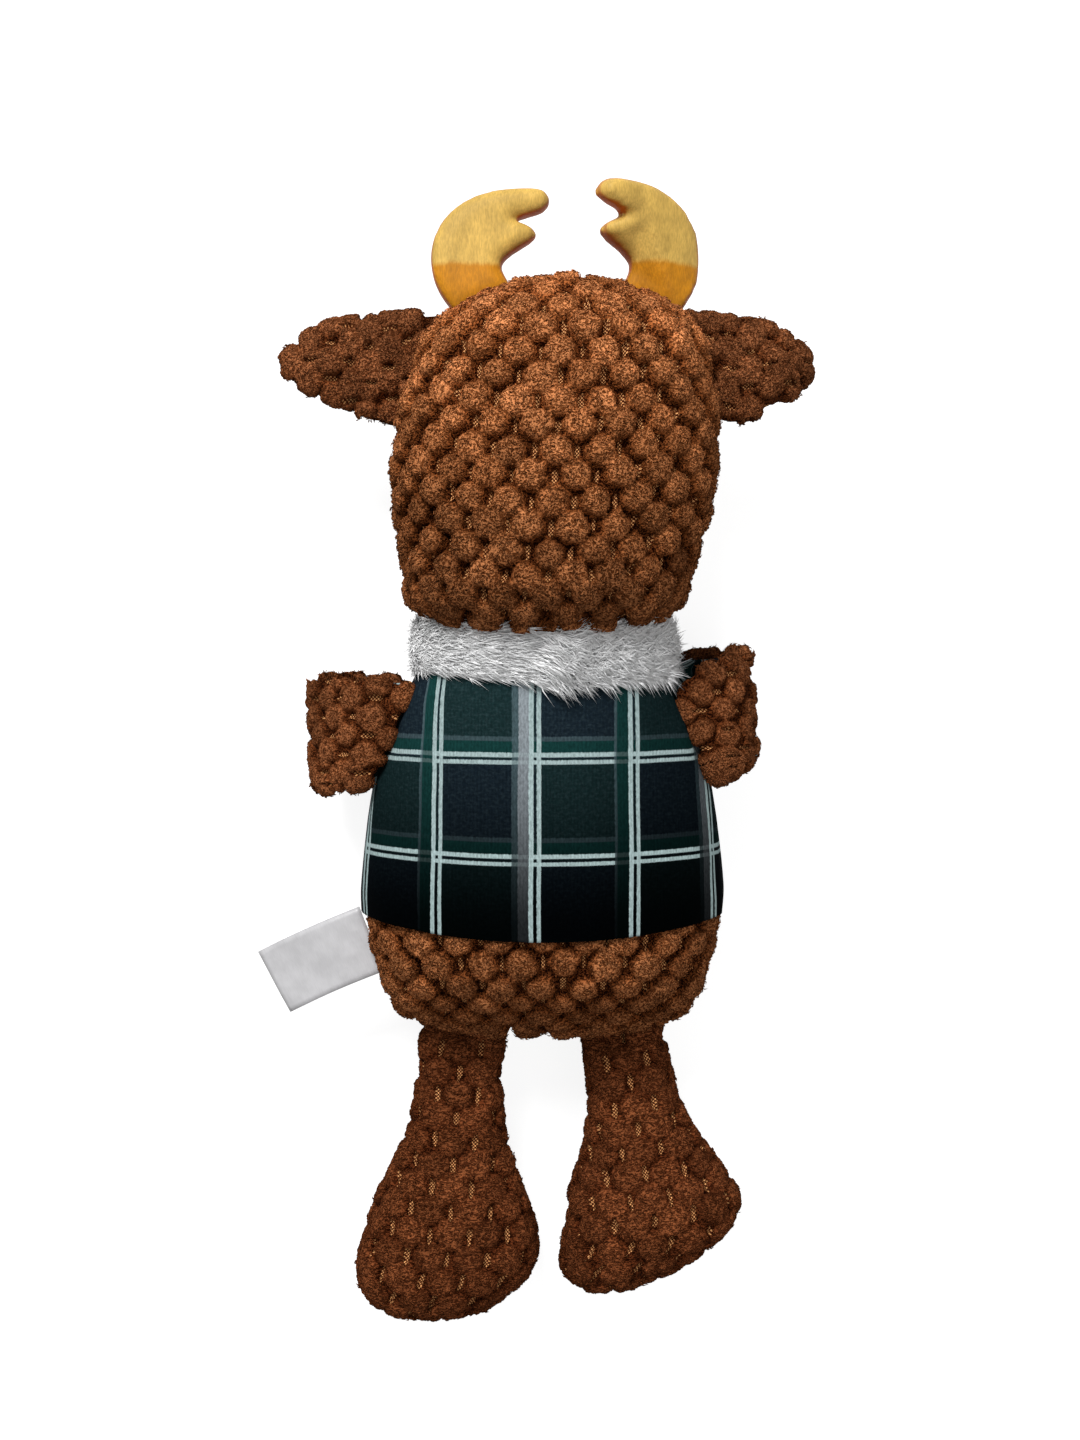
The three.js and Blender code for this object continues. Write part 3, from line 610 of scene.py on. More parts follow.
def tree_of(mesh: bpy.types.Mesh) -> BVHTree:
    """Makes a mesh ready for rays."""
    copied = bmesh.new()
    copied.from_mesh(mesh)
    tree = BVHTree.FromBMesh(copied)
    copied.free()
    return tree


def points_of(piece: bpy.types.Object) -> np.ndarray:
    """Gives the places of a mesh's points, one row each."""
    flat = np.zeros(len(piece.data.vertices) * 3, np.float32)
    piece.data.vertices.foreach_get("co", flat)
    return flat.reshape(-1, 3).astype(float)


def place_points(piece: bpy.types.Object, points: np.ndarray) -> None:
    """Moves a mesh's points to new places."""
    piece.data.vertices.foreach_set("co", points.astype(np.float32).ravel())
    piece.data.update()


def normals_of(piece: bpy.types.Object) -> np.ndarray:
    """Gives the directions that a mesh's points face, one row each."""
    flat = np.zeros(len(piece.data.vertices) * 3, np.float32)
    piece.data.vertex_normals.foreach_get("vector", flat)
    return flat.reshape(-1, 3).astype(float)


def note(piece: bpy.types.Object, name: str, values: np.ndarray) -> None:
    """Keeps a number at each point of a mesh, for its material."""
    attribute = piece.data.attributes.get(name) or piece.data.attributes.new(name, "FLOAT", "POINT")
    attribute.data.foreach_set("value", values.astype(np.float32))


def noted(piece: bpy.types.Object, name: str) -> np.ndarray:
    """Gives a number that was kept at each point of a mesh."""
    values = np.zeros(len(piece.data.vertices), np.float32)
    piece.data.attributes[name].data.foreach_get("value", values)
    return values.astype(float)


def unit(vectors: np.ndarray) -> np.ndarray:
    """Gives directions of length one."""
    return vectors / np.maximum(np.linalg.norm(vectors, axis=-1, keepdims=True), 1e-9)


def reach_in(piece: bpy.types.Object, seam: Vector, out: Vector, depth: float, over: float) -> None:
    """Stretches a limb's sewn end into what carries it.

    Args:
        piece: The limb's skin.
        seam: A point on its seam.
        out: Direction that the limb leaves in.
        depth: How far its end goes in.
        over: Length of limb that the stretch is spread over.
    """
    points = points_of(piece)
    way = np.array(out.normalized())
    share = np.clip(1 - (points - np.array(seam)) @ way / over, 0, 1)
    place_points(piece, points - way * (depth * share)[:, None])


def lay_cloth(piece: bpy.types.Object, across: np.ndarray, along: np.ndarray) -> None:
    """Keeps each point's place on the cloth, in millimetres, as a UV map named cloth."""
    layer = piece.data.uv_layers.get("cloth") or piece.data.uv_layers.new(name="cloth")
    corners = np.zeros(len(piece.data.loops), np.int32)
    piece.data.loops.foreach_get("vertex_index", corners)
    pairs = np.stack([across[corners], along[corners]], axis=1) / MM
    layer.data.foreach_set("uv", pairs.astype(np.float32).ravel())


def finish_with(piece: bpy.types.Object, modifier: str, **settings: object) -> None:
    """Adds a modifier, sets it and applies it."""
    select_only(piece)
    bpy.ops.object.modifier_add(type=modifier)
    added = piece.modifiers[-1]
    for key, value in settings.items():
        setattr(added, key, value)
    bpy.ops.object.modifier_apply(modifier=added.name)


def shade_smooth(piece: bpy.types.Object) -> None:
    """Shades a piece smoothly all over."""
    select_only(piece)
    bpy.ops.object.shade_smooth()


def press_on_table(piece: bpy.types.Object) -> None:
    """Flattens what would lie under the table's top."""
    points = points_of(piece)
    points[:, 2] = np.maximum(points[:, 2], TABLE_GAP)
    place_points(piece, points)


def wobble(points: np.ndarray, size: float, amount: float) -> np.ndarray:
    """Gives a smooth pseudo-random number at each point, between plus and minus the amount."""
    return amount * np.array([noise.noise(Vector(point)) for point in points / size])


@dataclass(frozen=True)
class StuffedForm:
    """Soft form that fills the space of its solids: remeshed, blown up by its filling and made smooth."""

    name: str
    nodes: tuple[str, ...]
    cell: float = 4.4 * MM
    levels: int = 2
    swell: float = 1.5 * MM
    hollow: bool = True
    sink: float = 0.0
    soften: int = 0
    same_point: float = 0.01 * MM
    seam_gap: float = 0.45 * MM
    off_face: float = 0.05 * MM
    glance: float = 0.6
    pressure: float = 4.0
    frames: int = 20

    def sew(self) -> bpy.types.Object:
        """Makes the form as a new object.

        Returns:
            A closed mesh that points outwards, with no modifiers left.
        """
        piece = self.copy_solids()
        if self.hollow:
            self.drop_inner_walls(piece)
        piece.data.remesh_voxel_size = self.cell
        select_only(piece)
        bpy.ops.object.voxel_remesh()
        self.keep_largest(piece)
        if self.soften:
            finish_with(piece, "SMOOTH", factor=0.5, iterations=self.soften)
        if self.sink:
            place_points(piece, points_of(piece) - self.sink * normals_of(piece))
        if self.swell:
            self.blow_up(piece)
        finish_with(piece, "SUBSURF", levels=self.levels, render_levels=self.levels)
        press_on_table(piece)
        shade_smooth(piece)
        return piece

    def copy_solids(self) -> bpy.types.Object:
        """Joins copies of the solids in one new object, with their loose triangles merged."""
        piece = new_piece(self.name, [], [])
        joined = bmesh.new()
        for node in self.nodes:
            joined.from_mesh(frame["nodes"][node].data)
        bmesh.ops.remove_doubles(joined, verts=joined.verts, dist=self.same_point)
        joined.to_mesh(piece.data)
        joined.free()
        piece.data.materials.clear()
        return piece

    def drop_inner_walls(self, piece: bpy.types.Object) -> None:
        """Keeps the faces from which nothing else of the form is seen, and closes what opens."""
        shell = bmesh.new()
        shell.from_mesh(piece.data)
        tree = BVHTree.FromBMesh(shell)
        inner = []
        for face in shell.faces:
            centre = face.calc_center_median()
            ahead = face.normal
            beside = ahead.orthogonal().normalized()
            other = ahead.cross(beside)
            for tilt in (Vector(), beside, -beside, other, -other):
                way = (ahead + self.glance * tilt).normalized()
                if tree.ray_cast(centre + self.off_face * ahead, way)[0] is not None:
                    inner.append(face)
                    break
        bmesh.ops.delete(shell, geom=inner, context="FACES")
        bmesh.ops.remove_doubles(shell, verts=shell.verts, dist=self.seam_gap)
        bmesh.ops.holes_fill(shell, edges=[edge for edge in shell.edges if edge.is_boundary], sides=0)
        shell.to_mesh(piece.data)
        shell.free()

    @staticmethod
    def keep_largest(piece: bpy.types.Object) -> None:
        """Deletes all but the largest of a mesh's separate parts."""
        whole = bmesh.new()
        whole.from_mesh(piece.data)
        left = set(whole.faces)
        parts = []
        while left:
            part, front = set(), [left.pop()]
            while front:
                face = front.pop()
                part.add(face)
                near = {other for edge in face.edges for other in edge.link_faces} & left
                left -= near
                front.extend(near)
            parts.append(part)
        largest = max(parts, key=len)
        stray = [face for part in parts if part is not largest for face in part]
        bmesh.ops.delete(whole, geom=stray, context="FACES")
        whole.to_mesh(piece.data)
        whole.free()

    def blow_up(self, piece: bpy.types.Object) -> None:
        """Lets the filling press on the cloth for a moment, and caps how far a point moves."""
        start = points_of(piece)
        select_only(piece)
        bpy.ops.object.modifier_add(type="CLOTH")
        cloth = piece.modifiers[-1]
        cloth.settings.use_pressure = True
        cloth.settings.uniform_pressure_force = self.pressure
        cloth.settings.effector_weights.gravity = 0.0
        cloth.point_cache.frame_start = 1
        cloth.point_cache.frame_end = self.frames
        for step in range(1, self.frames + 1):
            bpy.context.scene.frame_set(step)
        bpy.ops.object.modifier_apply(modifier=cloth.name)
        bpy.context.scene.frame_set(1)
        moved = points_of(piece) - start
        length = np.linalg.norm(moved, axis=1, keepdims=True)
        place_points(piece, start + moved * np.minimum(1.0, self.swell / np.maximum(length, 1e-9)))


@dataclass(frozen=True)
class ClothPlaces:
    """Where each point of a form lies on the cloth that is wrapped round it."""

    across: np.ndarray
    along: np.ndarray

    @staticmethod
    def wrapped(points: np.ndarray, ahead: Vector, bow: float = 0.0) -> "ClothPlaces":
        """Measures round the form from its back and along its back.

        Args:
            points: The form's points, one row each.
            ahead: Direction of the form's length, level with the table.
            bow: How much a row of bobbles bends, for each metre round, squared.

        Returns:
            The places on the cloth, in metres.
        """
        forward = np.array(ahead.normalized())
        sideways = np.array([forward[1], -forward[0], 0.0])
        along, aside, up = points @ forward, points @ sideways, points[:, 2]
        low, high = along.min(), along.max()
        slot = np.clip(((along - low) / (high - low) * SLICES).astype(int), 0, SLICES - 1)
        sizes = np.array([ClothPlaces.extent(aside[slot == i], up[slot == i]) for i in range(SLICES)])
        smooth = np.stack([np.convolve(np.pad(row, 2, "edge"), np.ones(5) / 5, "valid") for row in sizes.T])
        centres = low + (np.arange(SLICES) + 0.5) * (high - low) / SLICES
        middle, half_width, height, half_depth = (np.interp(along, centres, row) for row in smooth)
        angle = np.arctan2(np.abs(aside - middle) / half_width, (up - height) / half_depth)
        # Arc length of an ellipse from its top, by its flatness and the turn, as a share of the half width
        turns = np.linspace(0, math.pi, TURNS + 1)
        flat = np.linspace(0, 1, FLATS + 1)[:, None] * np.cos(turns)
        steps = np.hypot(np.diff(np.sin(turns)), np.diff(flat, axis=1))
        table = np.concatenate([np.zeros((FLATS + 1, 1)), np.cumsum(steps, axis=1)], axis=1)
        row = np.clip(half_depth / half_width, 0, 1) * FLATS
        column = angle / math.pi * TURNS
        near, next_to = row.astype(int), np.minimum(row.astype(int) + 1, FLATS)
        left, right = column.astype(int), np.minimum(column.astype(int) + 1, TURNS)
        part = column - left
        lower = table[near, left] * (1 - part) + table[near, right] * part
        upper = table[next_to, left] * (1 - part) + table[next_to, right] * part
        arc = (lower + (upper - lower) * (row - near)) * half_width
        rise = np.concatenate([[0], np.cumsum(np.hypot(np.diff(centres), np.diff(smooth[3])))])
        length = np.interp(along, centres, rise)
        across = np.sign(aside - middle) * arc
        return ClothPlaces(across, length + bow * across**2)

    @staticmethod
    def extent(aside: np.ndarray, up: np.ndarray) -> tuple[float, float, float, float]:
        """Gives a slice's middle and half size, sideways and upwards."""
        if not len(aside):
            return 0.0, MM, 0.0, MM
        wide = max((aside.max() - aside.min()) / 2, MM)
        deep = max((up.max() - up.min()) / 2, MM)
        return (aside.max() + aside.min()) / 2, wide, (up.max() + up.min()) / 2, deep


@dataclass(frozen=True)
class BobbleCloth:
    """Plush whose bobbles stand in staggered columns, with a slit between two of one row."""

    column: float = 13.8 * MM
    row: float = 8.2 * MM
    radius: float = 5.6 * MM
    height: float = 4.2 * MM
    filled: float = 0.15
    slit_width: float = 1.5 * MM
    slit_length: float = 4.8 * MM
    slit_depth: float = 0.72
    slit_edge: float = 1.5
    slit_fade: float = 0.8
    slit_frayed: float = 2.4 * MM
    jitter: float = 0.7 * MM
    lump: float = 0.5 * MM
    lump_size: float = 2.4 * MM
    ragged: float = 1.3 * MM
    ragged_size: float = 3.2 * MM
    radii: Span = (0.92, 1.08)
    heights: Span = (0.84, 1.08)
    neighbours: int = 4
    blend: int = 6
    least_gap: float = 0.62
    widest_gap: float = 0.6
    off_cloth: float = 1.2 * MM
    turned: bool = False
    seed: int = 1
    pressed_by: tuple[str, ...] = ()
    press_reach: float = 4 * MM
    press_gap: float = 1 * MM

    def raise_on(self, piece: bpy.types.Object, places: ClothPlaces, calm: np.ndarray | None = None) -> None:
        """Raises the bobbles on a form and notes their pile, tone and slits for the plush.

        Args:
            piece: A fine closed mesh.
            places: Where its points lie on the cloth.
            calm: Share of the bobbles' height at each point, or None for all of it.
        """
        rng = np.random.default_rng(self.seed)
        points, normals = points_of(piece), normals_of(piece)
        chosen = self.spread(points, places, rng)
        centres, facing = points[chosen], normals[chosen]
        tree = self.search_tree(centres)
        near = np.array([[found[1] for found in tree.find_n(point, self.neighbours)] for point in points])
        radius = self.radius * rng.uniform(*self.radii, len(centres))
        tall = rng.uniform(*self.heights, len(centres))
        ragged = wobble(points, self.ragged_size, self.ragged)
        total = np.zeros(len(points))
        for closest in near.T:
            away = points - centres[closest]
            out = facing[closest]
            reach = np.linalg.norm(away - (away * out).sum(1, keepdims=True) * out, axis=1)
            frayed = reach + ragged * np.clip(reach / self.radius, 0, 1)
            share = np.clip(frayed / radius[closest], 0, 1)
            total += (tall[closest] * (1 - share**4) ** 0.5) ** self.blend
        dome = np.clip(total ** (1 / self.blend), 0, 1.1)
        slit = self.slits(places, ragged)
        pile = (self.filled + (1 - self.filled) * dome) * (1 - self.slit_depth * slit)
        still = self.stillness(points) if calm is None else calm * self.stillness(points)
        lumps = 1 + wobble(points, self.lump_size, 1.0)
        lift = still * (self.height * pile + self.lump * lumps * pile)
        place_points(piece, points + normals * lift[:, None])
        press_on_table(piece)
        # The pile's height, which the plush paints shade into where it is low and a highlight where it is
        # high
        note(piece, "pile", 1 - still * (1 - np.clip(pile, 0, 1)))
        note(piece, "tone", rng.uniform(0, 1, len(centres))[near[:, 0]])
        note(piece, "slit", still * slit)
        lay_cloth(piece, places.across, places.along)

    @staticmethod
    def search_tree(points: np.ndarray) -> KDTree:
        """Makes points ready for a search of the nearest."""
        tree = KDTree(len(points))
        for index, point in enumerate(points):
            tree.insert(point, index)
        tree.balance()
        return tree

    def ways(self, places: ClothPlaces) -> tuple[np.ndarray, np.ndarray]:
        """Gives the places across the columns and along them."""
        return (places.along, places.across) if self.turned else (places.across, places.along)

    def slits(self, places: ClothPlaces, ragged: np.ndarray) -> np.ndarray:
        """Gives how far each point lies in a slit, from 0 on the pile to 1 on the bare knit.

        Args:
            places: Where the points lie on the cloth.
            ragged: How far the pile's edge strays at each point.

        Returns:
            One share for each point.
        """
        across, along = self.ways(places)
        nearest = np.full(len(across), np.inf)
        for step in (-1, 0, 1):
            line = np.round(along / self.row) + step
            aside = across / self.column - 0.5 - (line % 2) / 2
            off_across = (aside - np.round(aside)) * self.column
            off_along = along - line * self.row
            far = np.hypot(off_across / (self.slit_width / 2), off_along / (self.slit_length / 2))
            nearest = np.minimum(nearest, far)
        share = np.clip((self.slit_edge - nearest - ragged / self.slit_frayed) / self.slit_fade, 0, 1)
        return share * share * (3 - 2 * share)

    def spread(self, points: np.ndarray, places: ClothPlaces, rng: np.random.Generator) -> np.ndarray:
        """Sets out the bobbles' middles in staggered columns, and mends where the cloth bunches or parts.

        Args:
            points: The form's points, one row each.
            places: Where they lie on the cloth.
            rng: The cloth's own random numbers.

        Returns:
            The numbers of the points that are middles of bobbles.
        """
        across, along = self.ways(places)
        sheet = self.search_tree(np.stack([across, along, np.zeros(len(across))], axis=1))
        kept: list[int] = []
        apart = self.least_gap * math.hypot(self.column / 2, self.row)
        columns = range(math.floor(across.min() / self.column) - 1, math.ceil(across.max() / self.column) + 1)
        rows = range(math.floor(along.min() / self.row), math.ceil(along.max() / self.row) + 1)
        for j in rows:
            for i in columns:
                x = (i + (j % 2) / 2) * self.column + rng.uniform(-1, 1) * self.jitter
                y = j * self.row + rng.uniform(-1, 1) * self.jitter
                found = sheet.find((x, y, 0))
                if found[2] > self.off_cloth:
                    continue
                index = found[1]
                gaps = np.linalg.norm(points[kept] - points[index], axis=1) if kept else np.array([1.0])
                if gaps.min() > apart:
                    kept.append(index)
        some = np.arange(0, len(points), 5)
        gaps = np.min([np.linalg.norm(points[some] - points[index], axis=1) for index in kept], axis=0)
        while gaps.max() > self.widest_gap * self.column:
            worst = some[int(gaps.argmax())]
            kept.append(worst)
            gaps = np.minimum(gaps, np.linalg.norm(points[some] - points[worst], axis=1))
        return np.array(kept)

    def stillness(self, points: np.ndarray) -> np.ndarray:
        """Gives the share of their height that bobbles keep near the pieces that press on them."""
        still = np.ones(len(points))
        for node in self.pressed_by:
            tree = tree_of(frame["nodes"][node].data)
            found = [tree.find_nearest(point, self.press_reach)[3] for point in points]
            gaps = np.array([gap or self.press_reach for gap in found])
            share = (gaps - self.press_gap) / (self.press_reach - self.press_gap)
            still = np.minimum(still, np.clip(share, 0, 1))
        return still


# The finer cloth of the ears and arms
FINE_CLOTH = BobbleCloth(
    radius=4.85 * MM, height=3.2 * MM, filled=0.25, slit_width=1.6 * MM, jitter=0.4 * MM
)


@dataclass(frozen=True)
class TuftedPile:
    """Curled locks of pile that lie on the bobbles: short closed spindles, each with its own tone."""

    locks: int
    length: float = 2.4 * MM
    thick: float = 0.3 * MM
    stand: float = 0.35
    comb: Triple = (0.0, 0.0, 0.0)
    bare_below: float = 0.35
    off_table: float = 1.5 * MM
    rooted: float = 0.2 * MM
    arched: float = 0.1 * MM
    lengths: Span = (0.6, 1.25)
    thicknesses: Span = (0.75, 1.25)
    curl: float = 0.3
    shared_tone: float = 0.35
    seed: int = 2

    def plant(self, piece: bpy.types.Object) -> None:
        """Plants the locks all over the bobbles, away from the slits and the table.

        Args:
            piece: A form with its bobbles raised. The locks are joined to it.
        """
        rng = np.random.default_rng(self.seed)
        mesh = piece.data
        mesh.calc_loop_triangles()
        corners = np.zeros(len(mesh.loop_triangles) * 3, np.int32)
        areas = np.zeros(len(mesh.loop_triangles), np.float32)
        mesh.loop_triangles.foreach_get("vertices", corners)
        mesh.loop_triangles.foreach_get("area", areas)
        corners = corners.reshape(-1, 3)
        points = points_of(piece)
        pile, tone = noted(piece, "pile"), noted(piece, "tone")
        wanted = (pile > self.bare_below) & (points[:, 2] > self.off_table)
        weight = areas * wanted[corners].all(axis=1)
        picked = corners[rng.choice(len(areas), self.locks, p=weight / weight.sum())]
        shares = rng.dirichlet((1, 1, 1), self.locks)[:, :, None]
        out = (normals_of(piece)[picked] * shares).sum(1)
        root = (points[picked] * shares).sum(1) - self.rooted * out
        rise = (pile[picked][:, :, None] * shares).sum(1)
        one_each = (self.locks, 1)
        lie = unit(rng.normal(size=root.shape)) + rng.choice((-1, 1), one_each) * np.array(self.comb)
        lie = unit(lie - (lie * out).sum(1, keepdims=True) * out)
        way = unit(lie + self.stand * out)
        length = self.length * rng.uniform(*self.lengths, one_each) * (0.5 + 0.5 * rise)
        side = np.cross(lie, out)
        other = np.cross(way, side)
        belly = root + way * length * 0.5 + self.arched * out
        tip = root + lie * length + side * length * rng.uniform(-self.curl, self.curl, one_each)
        thick = self.thick * rng.uniform(*self.thicknesses, one_each)
        turns = [2 * math.pi * turn / 3 for turn in range(3)]
        ring = [belly + thick * (side * math.cos(turn) + other * math.sin(turn)) for turn in turns]
        pattern = ((1, 2, 4), (2, 3, 4), (3, 1, 4), (2, 1, 0), (3, 2, 0), (1, 3, 0))
        locks = strands_of("locks", np.stack([root, *ring, tip], axis=1), pattern)
        own = rng.uniform(0, 1, self.locks)
        own = self.shared_tone * tone[picked[:, 0]] + (1 - self.shared_tone) * own
        # The locks' roots have low pile, so they take the plush's painted shade, and their tips its painted
        # highlight
        note(locks, "pile", (rise * np.array([0.5, 0.95, 0.95, 0.95, 1.0])).ravel())
        note(locks, "tone", np.repeat(own, 5))
        note(locks, "slit", np.zeros(5 * self.locks))
        join_to(piece, locks)


def dress(
    piece: bpy.types.Object, material: bpy.types.Material, slot: str, *nodes: str, fill: float = 0.7
) -> None:
    """Gives a padded piece its material and hides the solids that it stands for.

    Args:
        piece: The finished mesh.
        material: Its material.
        slot: The record's slot for it. Not used.
        *nodes: The solids that it replaces.
        fill: How tight the filling is. Not used.
    """
    piece.data.materials.clear()
    piece.data.materials.append(material)
    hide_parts(*nodes)
    log.info("%s: %d faces", piece.name, len(piece.data.polygons))


@dataclass
class Trunk:
    """Stuffed trunk: a plaid jacket down to a curved hem, and a bobbled seat below it.

    The cap closes the neck's end: how wide each of its rings is, and how far ahead of the last row.
    """

    hem_y: float = -18 * MM
    hem_half_width: float = 63.5 * MM
    hem_sag: float = 7 * MM
    neck_top: float = 79 * MM
    columns: int = 220
    rows: int = 110
    tuck: float = 7 * MM
    seat_sink: float = 3.4 * MM
    tuck_sink: float = 1.2 * MM
    calm_above: float = 1.5 * MM
    calm_over: float = 3 * MM
    ray_spread: float = 1.35
    creases: float = 0.6 * MM
    crease_size: float = 11 * MM
    crease_run: float = 0.45
    bow: float = 2.4 * MM
    wall: float = 2.2 * MM
    cap: tuple[Span, ...] = ((0.92, 1.5 * MM), (0.7, 3.0 * MM), (0.35, 3.8 * MM), (0.04, 4.0 * MM))
    form: bpy.types.Object | None = field(default=None, repr=False)

    def hem(self, x: np.ndarray | float) -> np.ndarray | float:
        """Gives the hem's place along the trunk at a place across it."""
        return self.hem_y - self.hem_sag * (1 - np.clip(np.abs(x) / self.hem_half_width, 0, 1) ** 2)

    def build(self) -> None:
        """Makes the stuffed form, and the seat and the jacket from it."""
        self.form = StuffedForm("trunk_form", ("torso_cover", "seat_cover")).sew()
        self.seat()
        self.jacket()
        bpy.data.objects.remove(self.form)

    def seat(self) -> None:
        """Makes the seat's skin: the form below the hem, tucked a little way under the jacket."""
        piece = self.form.copy()
        piece.data = self.form.data.copy()
        piece.name = "seat_skin"
        bpy.context.scene.collection.objects.link(piece)
        lower = bmesh.new()
        lower.from_mesh(piece.data)
        above = [face for face in lower.faces if self.is_above(face.calc_center_median())]
        bmesh.ops.delete(lower, geom=above, context="FACES")
        bmesh.ops.holes_fill(lower, edges=[edge for edge in lower.edges if edge.is_boundary], sides=0)
        lower.to_mesh(piece.data)
        lower.free()
        points = points_of(piece)
        below = self.hem(points[:, 0]) - points[:, 1]
        calm = np.clip((below + self.calm_above) / self.calm_over, 0, 1)
        inwards = self.seat_sink + self.tuck_sink * (1 - calm)
        place_points(piece, points - normals_of(piece) * inwards[:, None])
        places = ClothPlaces.wrapped(points_of(piece), Vector((0, 1, 0)), bow=1.0)
        BobbleCloth(seed=11).raise_on(piece, places, calm)
        TuftedPile(14000, seed=12).plant(piece)
        # Its tip colour is the painted highlight on the bobbles' tops
        plush = BobblePlush("seat_plush", tuft=srgb(136, 76, 39), tip=srgb(174, 112, 70), pile=1.0 * MM)
        dress(piece, plush.material(), "brown_plush", "seat_cover", "trunk_filling")
        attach(piece, "trunk")

    def is_above(self, place: Vector) -> bool:
        """Tells whether a place is well up under the jacket."""
        return place.y > self.hem(place.x) + self.tuck

    def jacket(self) -> None:
        """Makes the jacket as one grid round the form, so that the print follows the cloth."""
        tree = tree_of(self.form.data)
        low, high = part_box("torso_cover")
        middle = (low.z + high.z) / 2
        rings = [
            [self.place_on(tree, row / self.rows, angle, middle) for angle in self.angles()]
            for row in range(self.rows + 1)
        ]
        last = rings[-1]
        middle_of_neck = sum(last, Vector()) / self.columns
        for share, ahead in self.cap:
            centre = middle_of_neck + Vector((0, ahead, 0))
            rings.append([centre + share * (place - middle_of_neck) for place in last])
        grid = np.array(rings)
        stretched = grid.reshape(-1, 3) * np.array([1.0, self.crease_run, 1.0])
        crease = wobble(stretched, self.crease_size, self.creases).reshape(grid.shape[:2])
        out = grid - np.array([0.0, 0.0, middle])
        out[:, :, 1] = 0.0
        grid += unit(out) * crease[:, :, None]
        grid[:, :, 2] = np.maximum(grid[:, :, 2], TABLE_GAP)
        piece = self.grid_mesh("jacket", grid)
        dress(piece, PlaidVelour("plaid_velour").material(), "plaid_velour", "torso_cover", fill=0.8)
        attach(piece, "trunk")

    def angles(self) -> np.ndarray:
        """Gives the turns of the grid's columns round the trunk, from the belly."""
        return np.linspace(0, 2 * math.pi, self.columns, endpoint=False)

    def place_on(self, tree: BVHTree, share: float, angle: float, middle: float) -> Vector:
        """Finds the grid's place on the form.

        Args:
            tree: The form, ready for rays.
            share: How far up from the hem to the neck.
            angle: Turn round the trunk.
            middle: Height of the trunk's axis behind the neck.

        Returns:
            The place.
        """
        way = Vector((math.sin(angle) * self.ray_spread, 0, -math.cos(angle))).normalized()
        y = self.hem_y
        for _ in range(3):
            x = tree.ray_cast(self.axis_point(y, middle), way)[0].x
            y = self.hem(x) + share * (self.neck_top - self.hem(x))
        return tree.ray_cast(self.axis_point(y, middle), way)[0]

    @staticmethod
    def axis_point(y: float, middle: float) -> Vector:
        """Gives a point of the trunk's axis, which rises a little to the neck."""
        neck = joint_point("neck_nod")
        share = min(max(y / neck.y, 0.0), 1.0)
        return Vector((0, y, middle + share * (neck.z - middle)))

    def grid_mesh(self, name: str, grid: np.ndarray) -> bpy.types.Object:
        """Makes a tube with a wall from rings of points, and lays its cloth from the middle of the back."""
        rows, columns = grid.shape[:2]
        faces = []
        for start in range(0, (rows - 1) * columns, columns):
            for c in range(columns):
                after = (c + 1) % columns
                faces.append((start + c, start + after, start + columns + after, start + columns + c))
        piece = new_piece(name, grid.reshape(-1, 3).tolist(), faces)
        steps = np.linalg.norm(np.roll(grid, -1, axis=1) - grid, axis=2)
        walked = np.cumsum(steps, axis=1) - steps
        across = steps.sum(axis=1, keepdims=True) / 2 - walked
        back = grid[:, columns // 2]
        rise = np.concatenate([[0.0], np.cumsum(np.linalg.norm(np.diff(back, axis=0), axis=1))])
        hem = back[0, 1]
        sag = (grid[0, :, 1] - hem)[None, :] * (1 - np.linspace(0, 1, rows))[:, None]
        bow = self.bow * np.clip(grid[:, :, 0] / self.hem_half_width, -1.2, 1.2) ** 2
        lay_cloth(piece, across.ravel(), (hem + rise[:, None] + sag - bow).ravel())
        finish_with(piece, "SOLIDIFY", thickness=self.wall, offset=-1.0, use_even_offset=False)
        select_only(piece)
        bpy.ops.object.mode_set(mode="EDIT")
        bpy.ops.mesh.select_all(action="SELECT")
        bpy.ops.mesh.normals_make_consistent(inside=False)
        bpy.ops.object.mode_set(mode="OBJECT")
        shade_smooth(piece)
        return piece


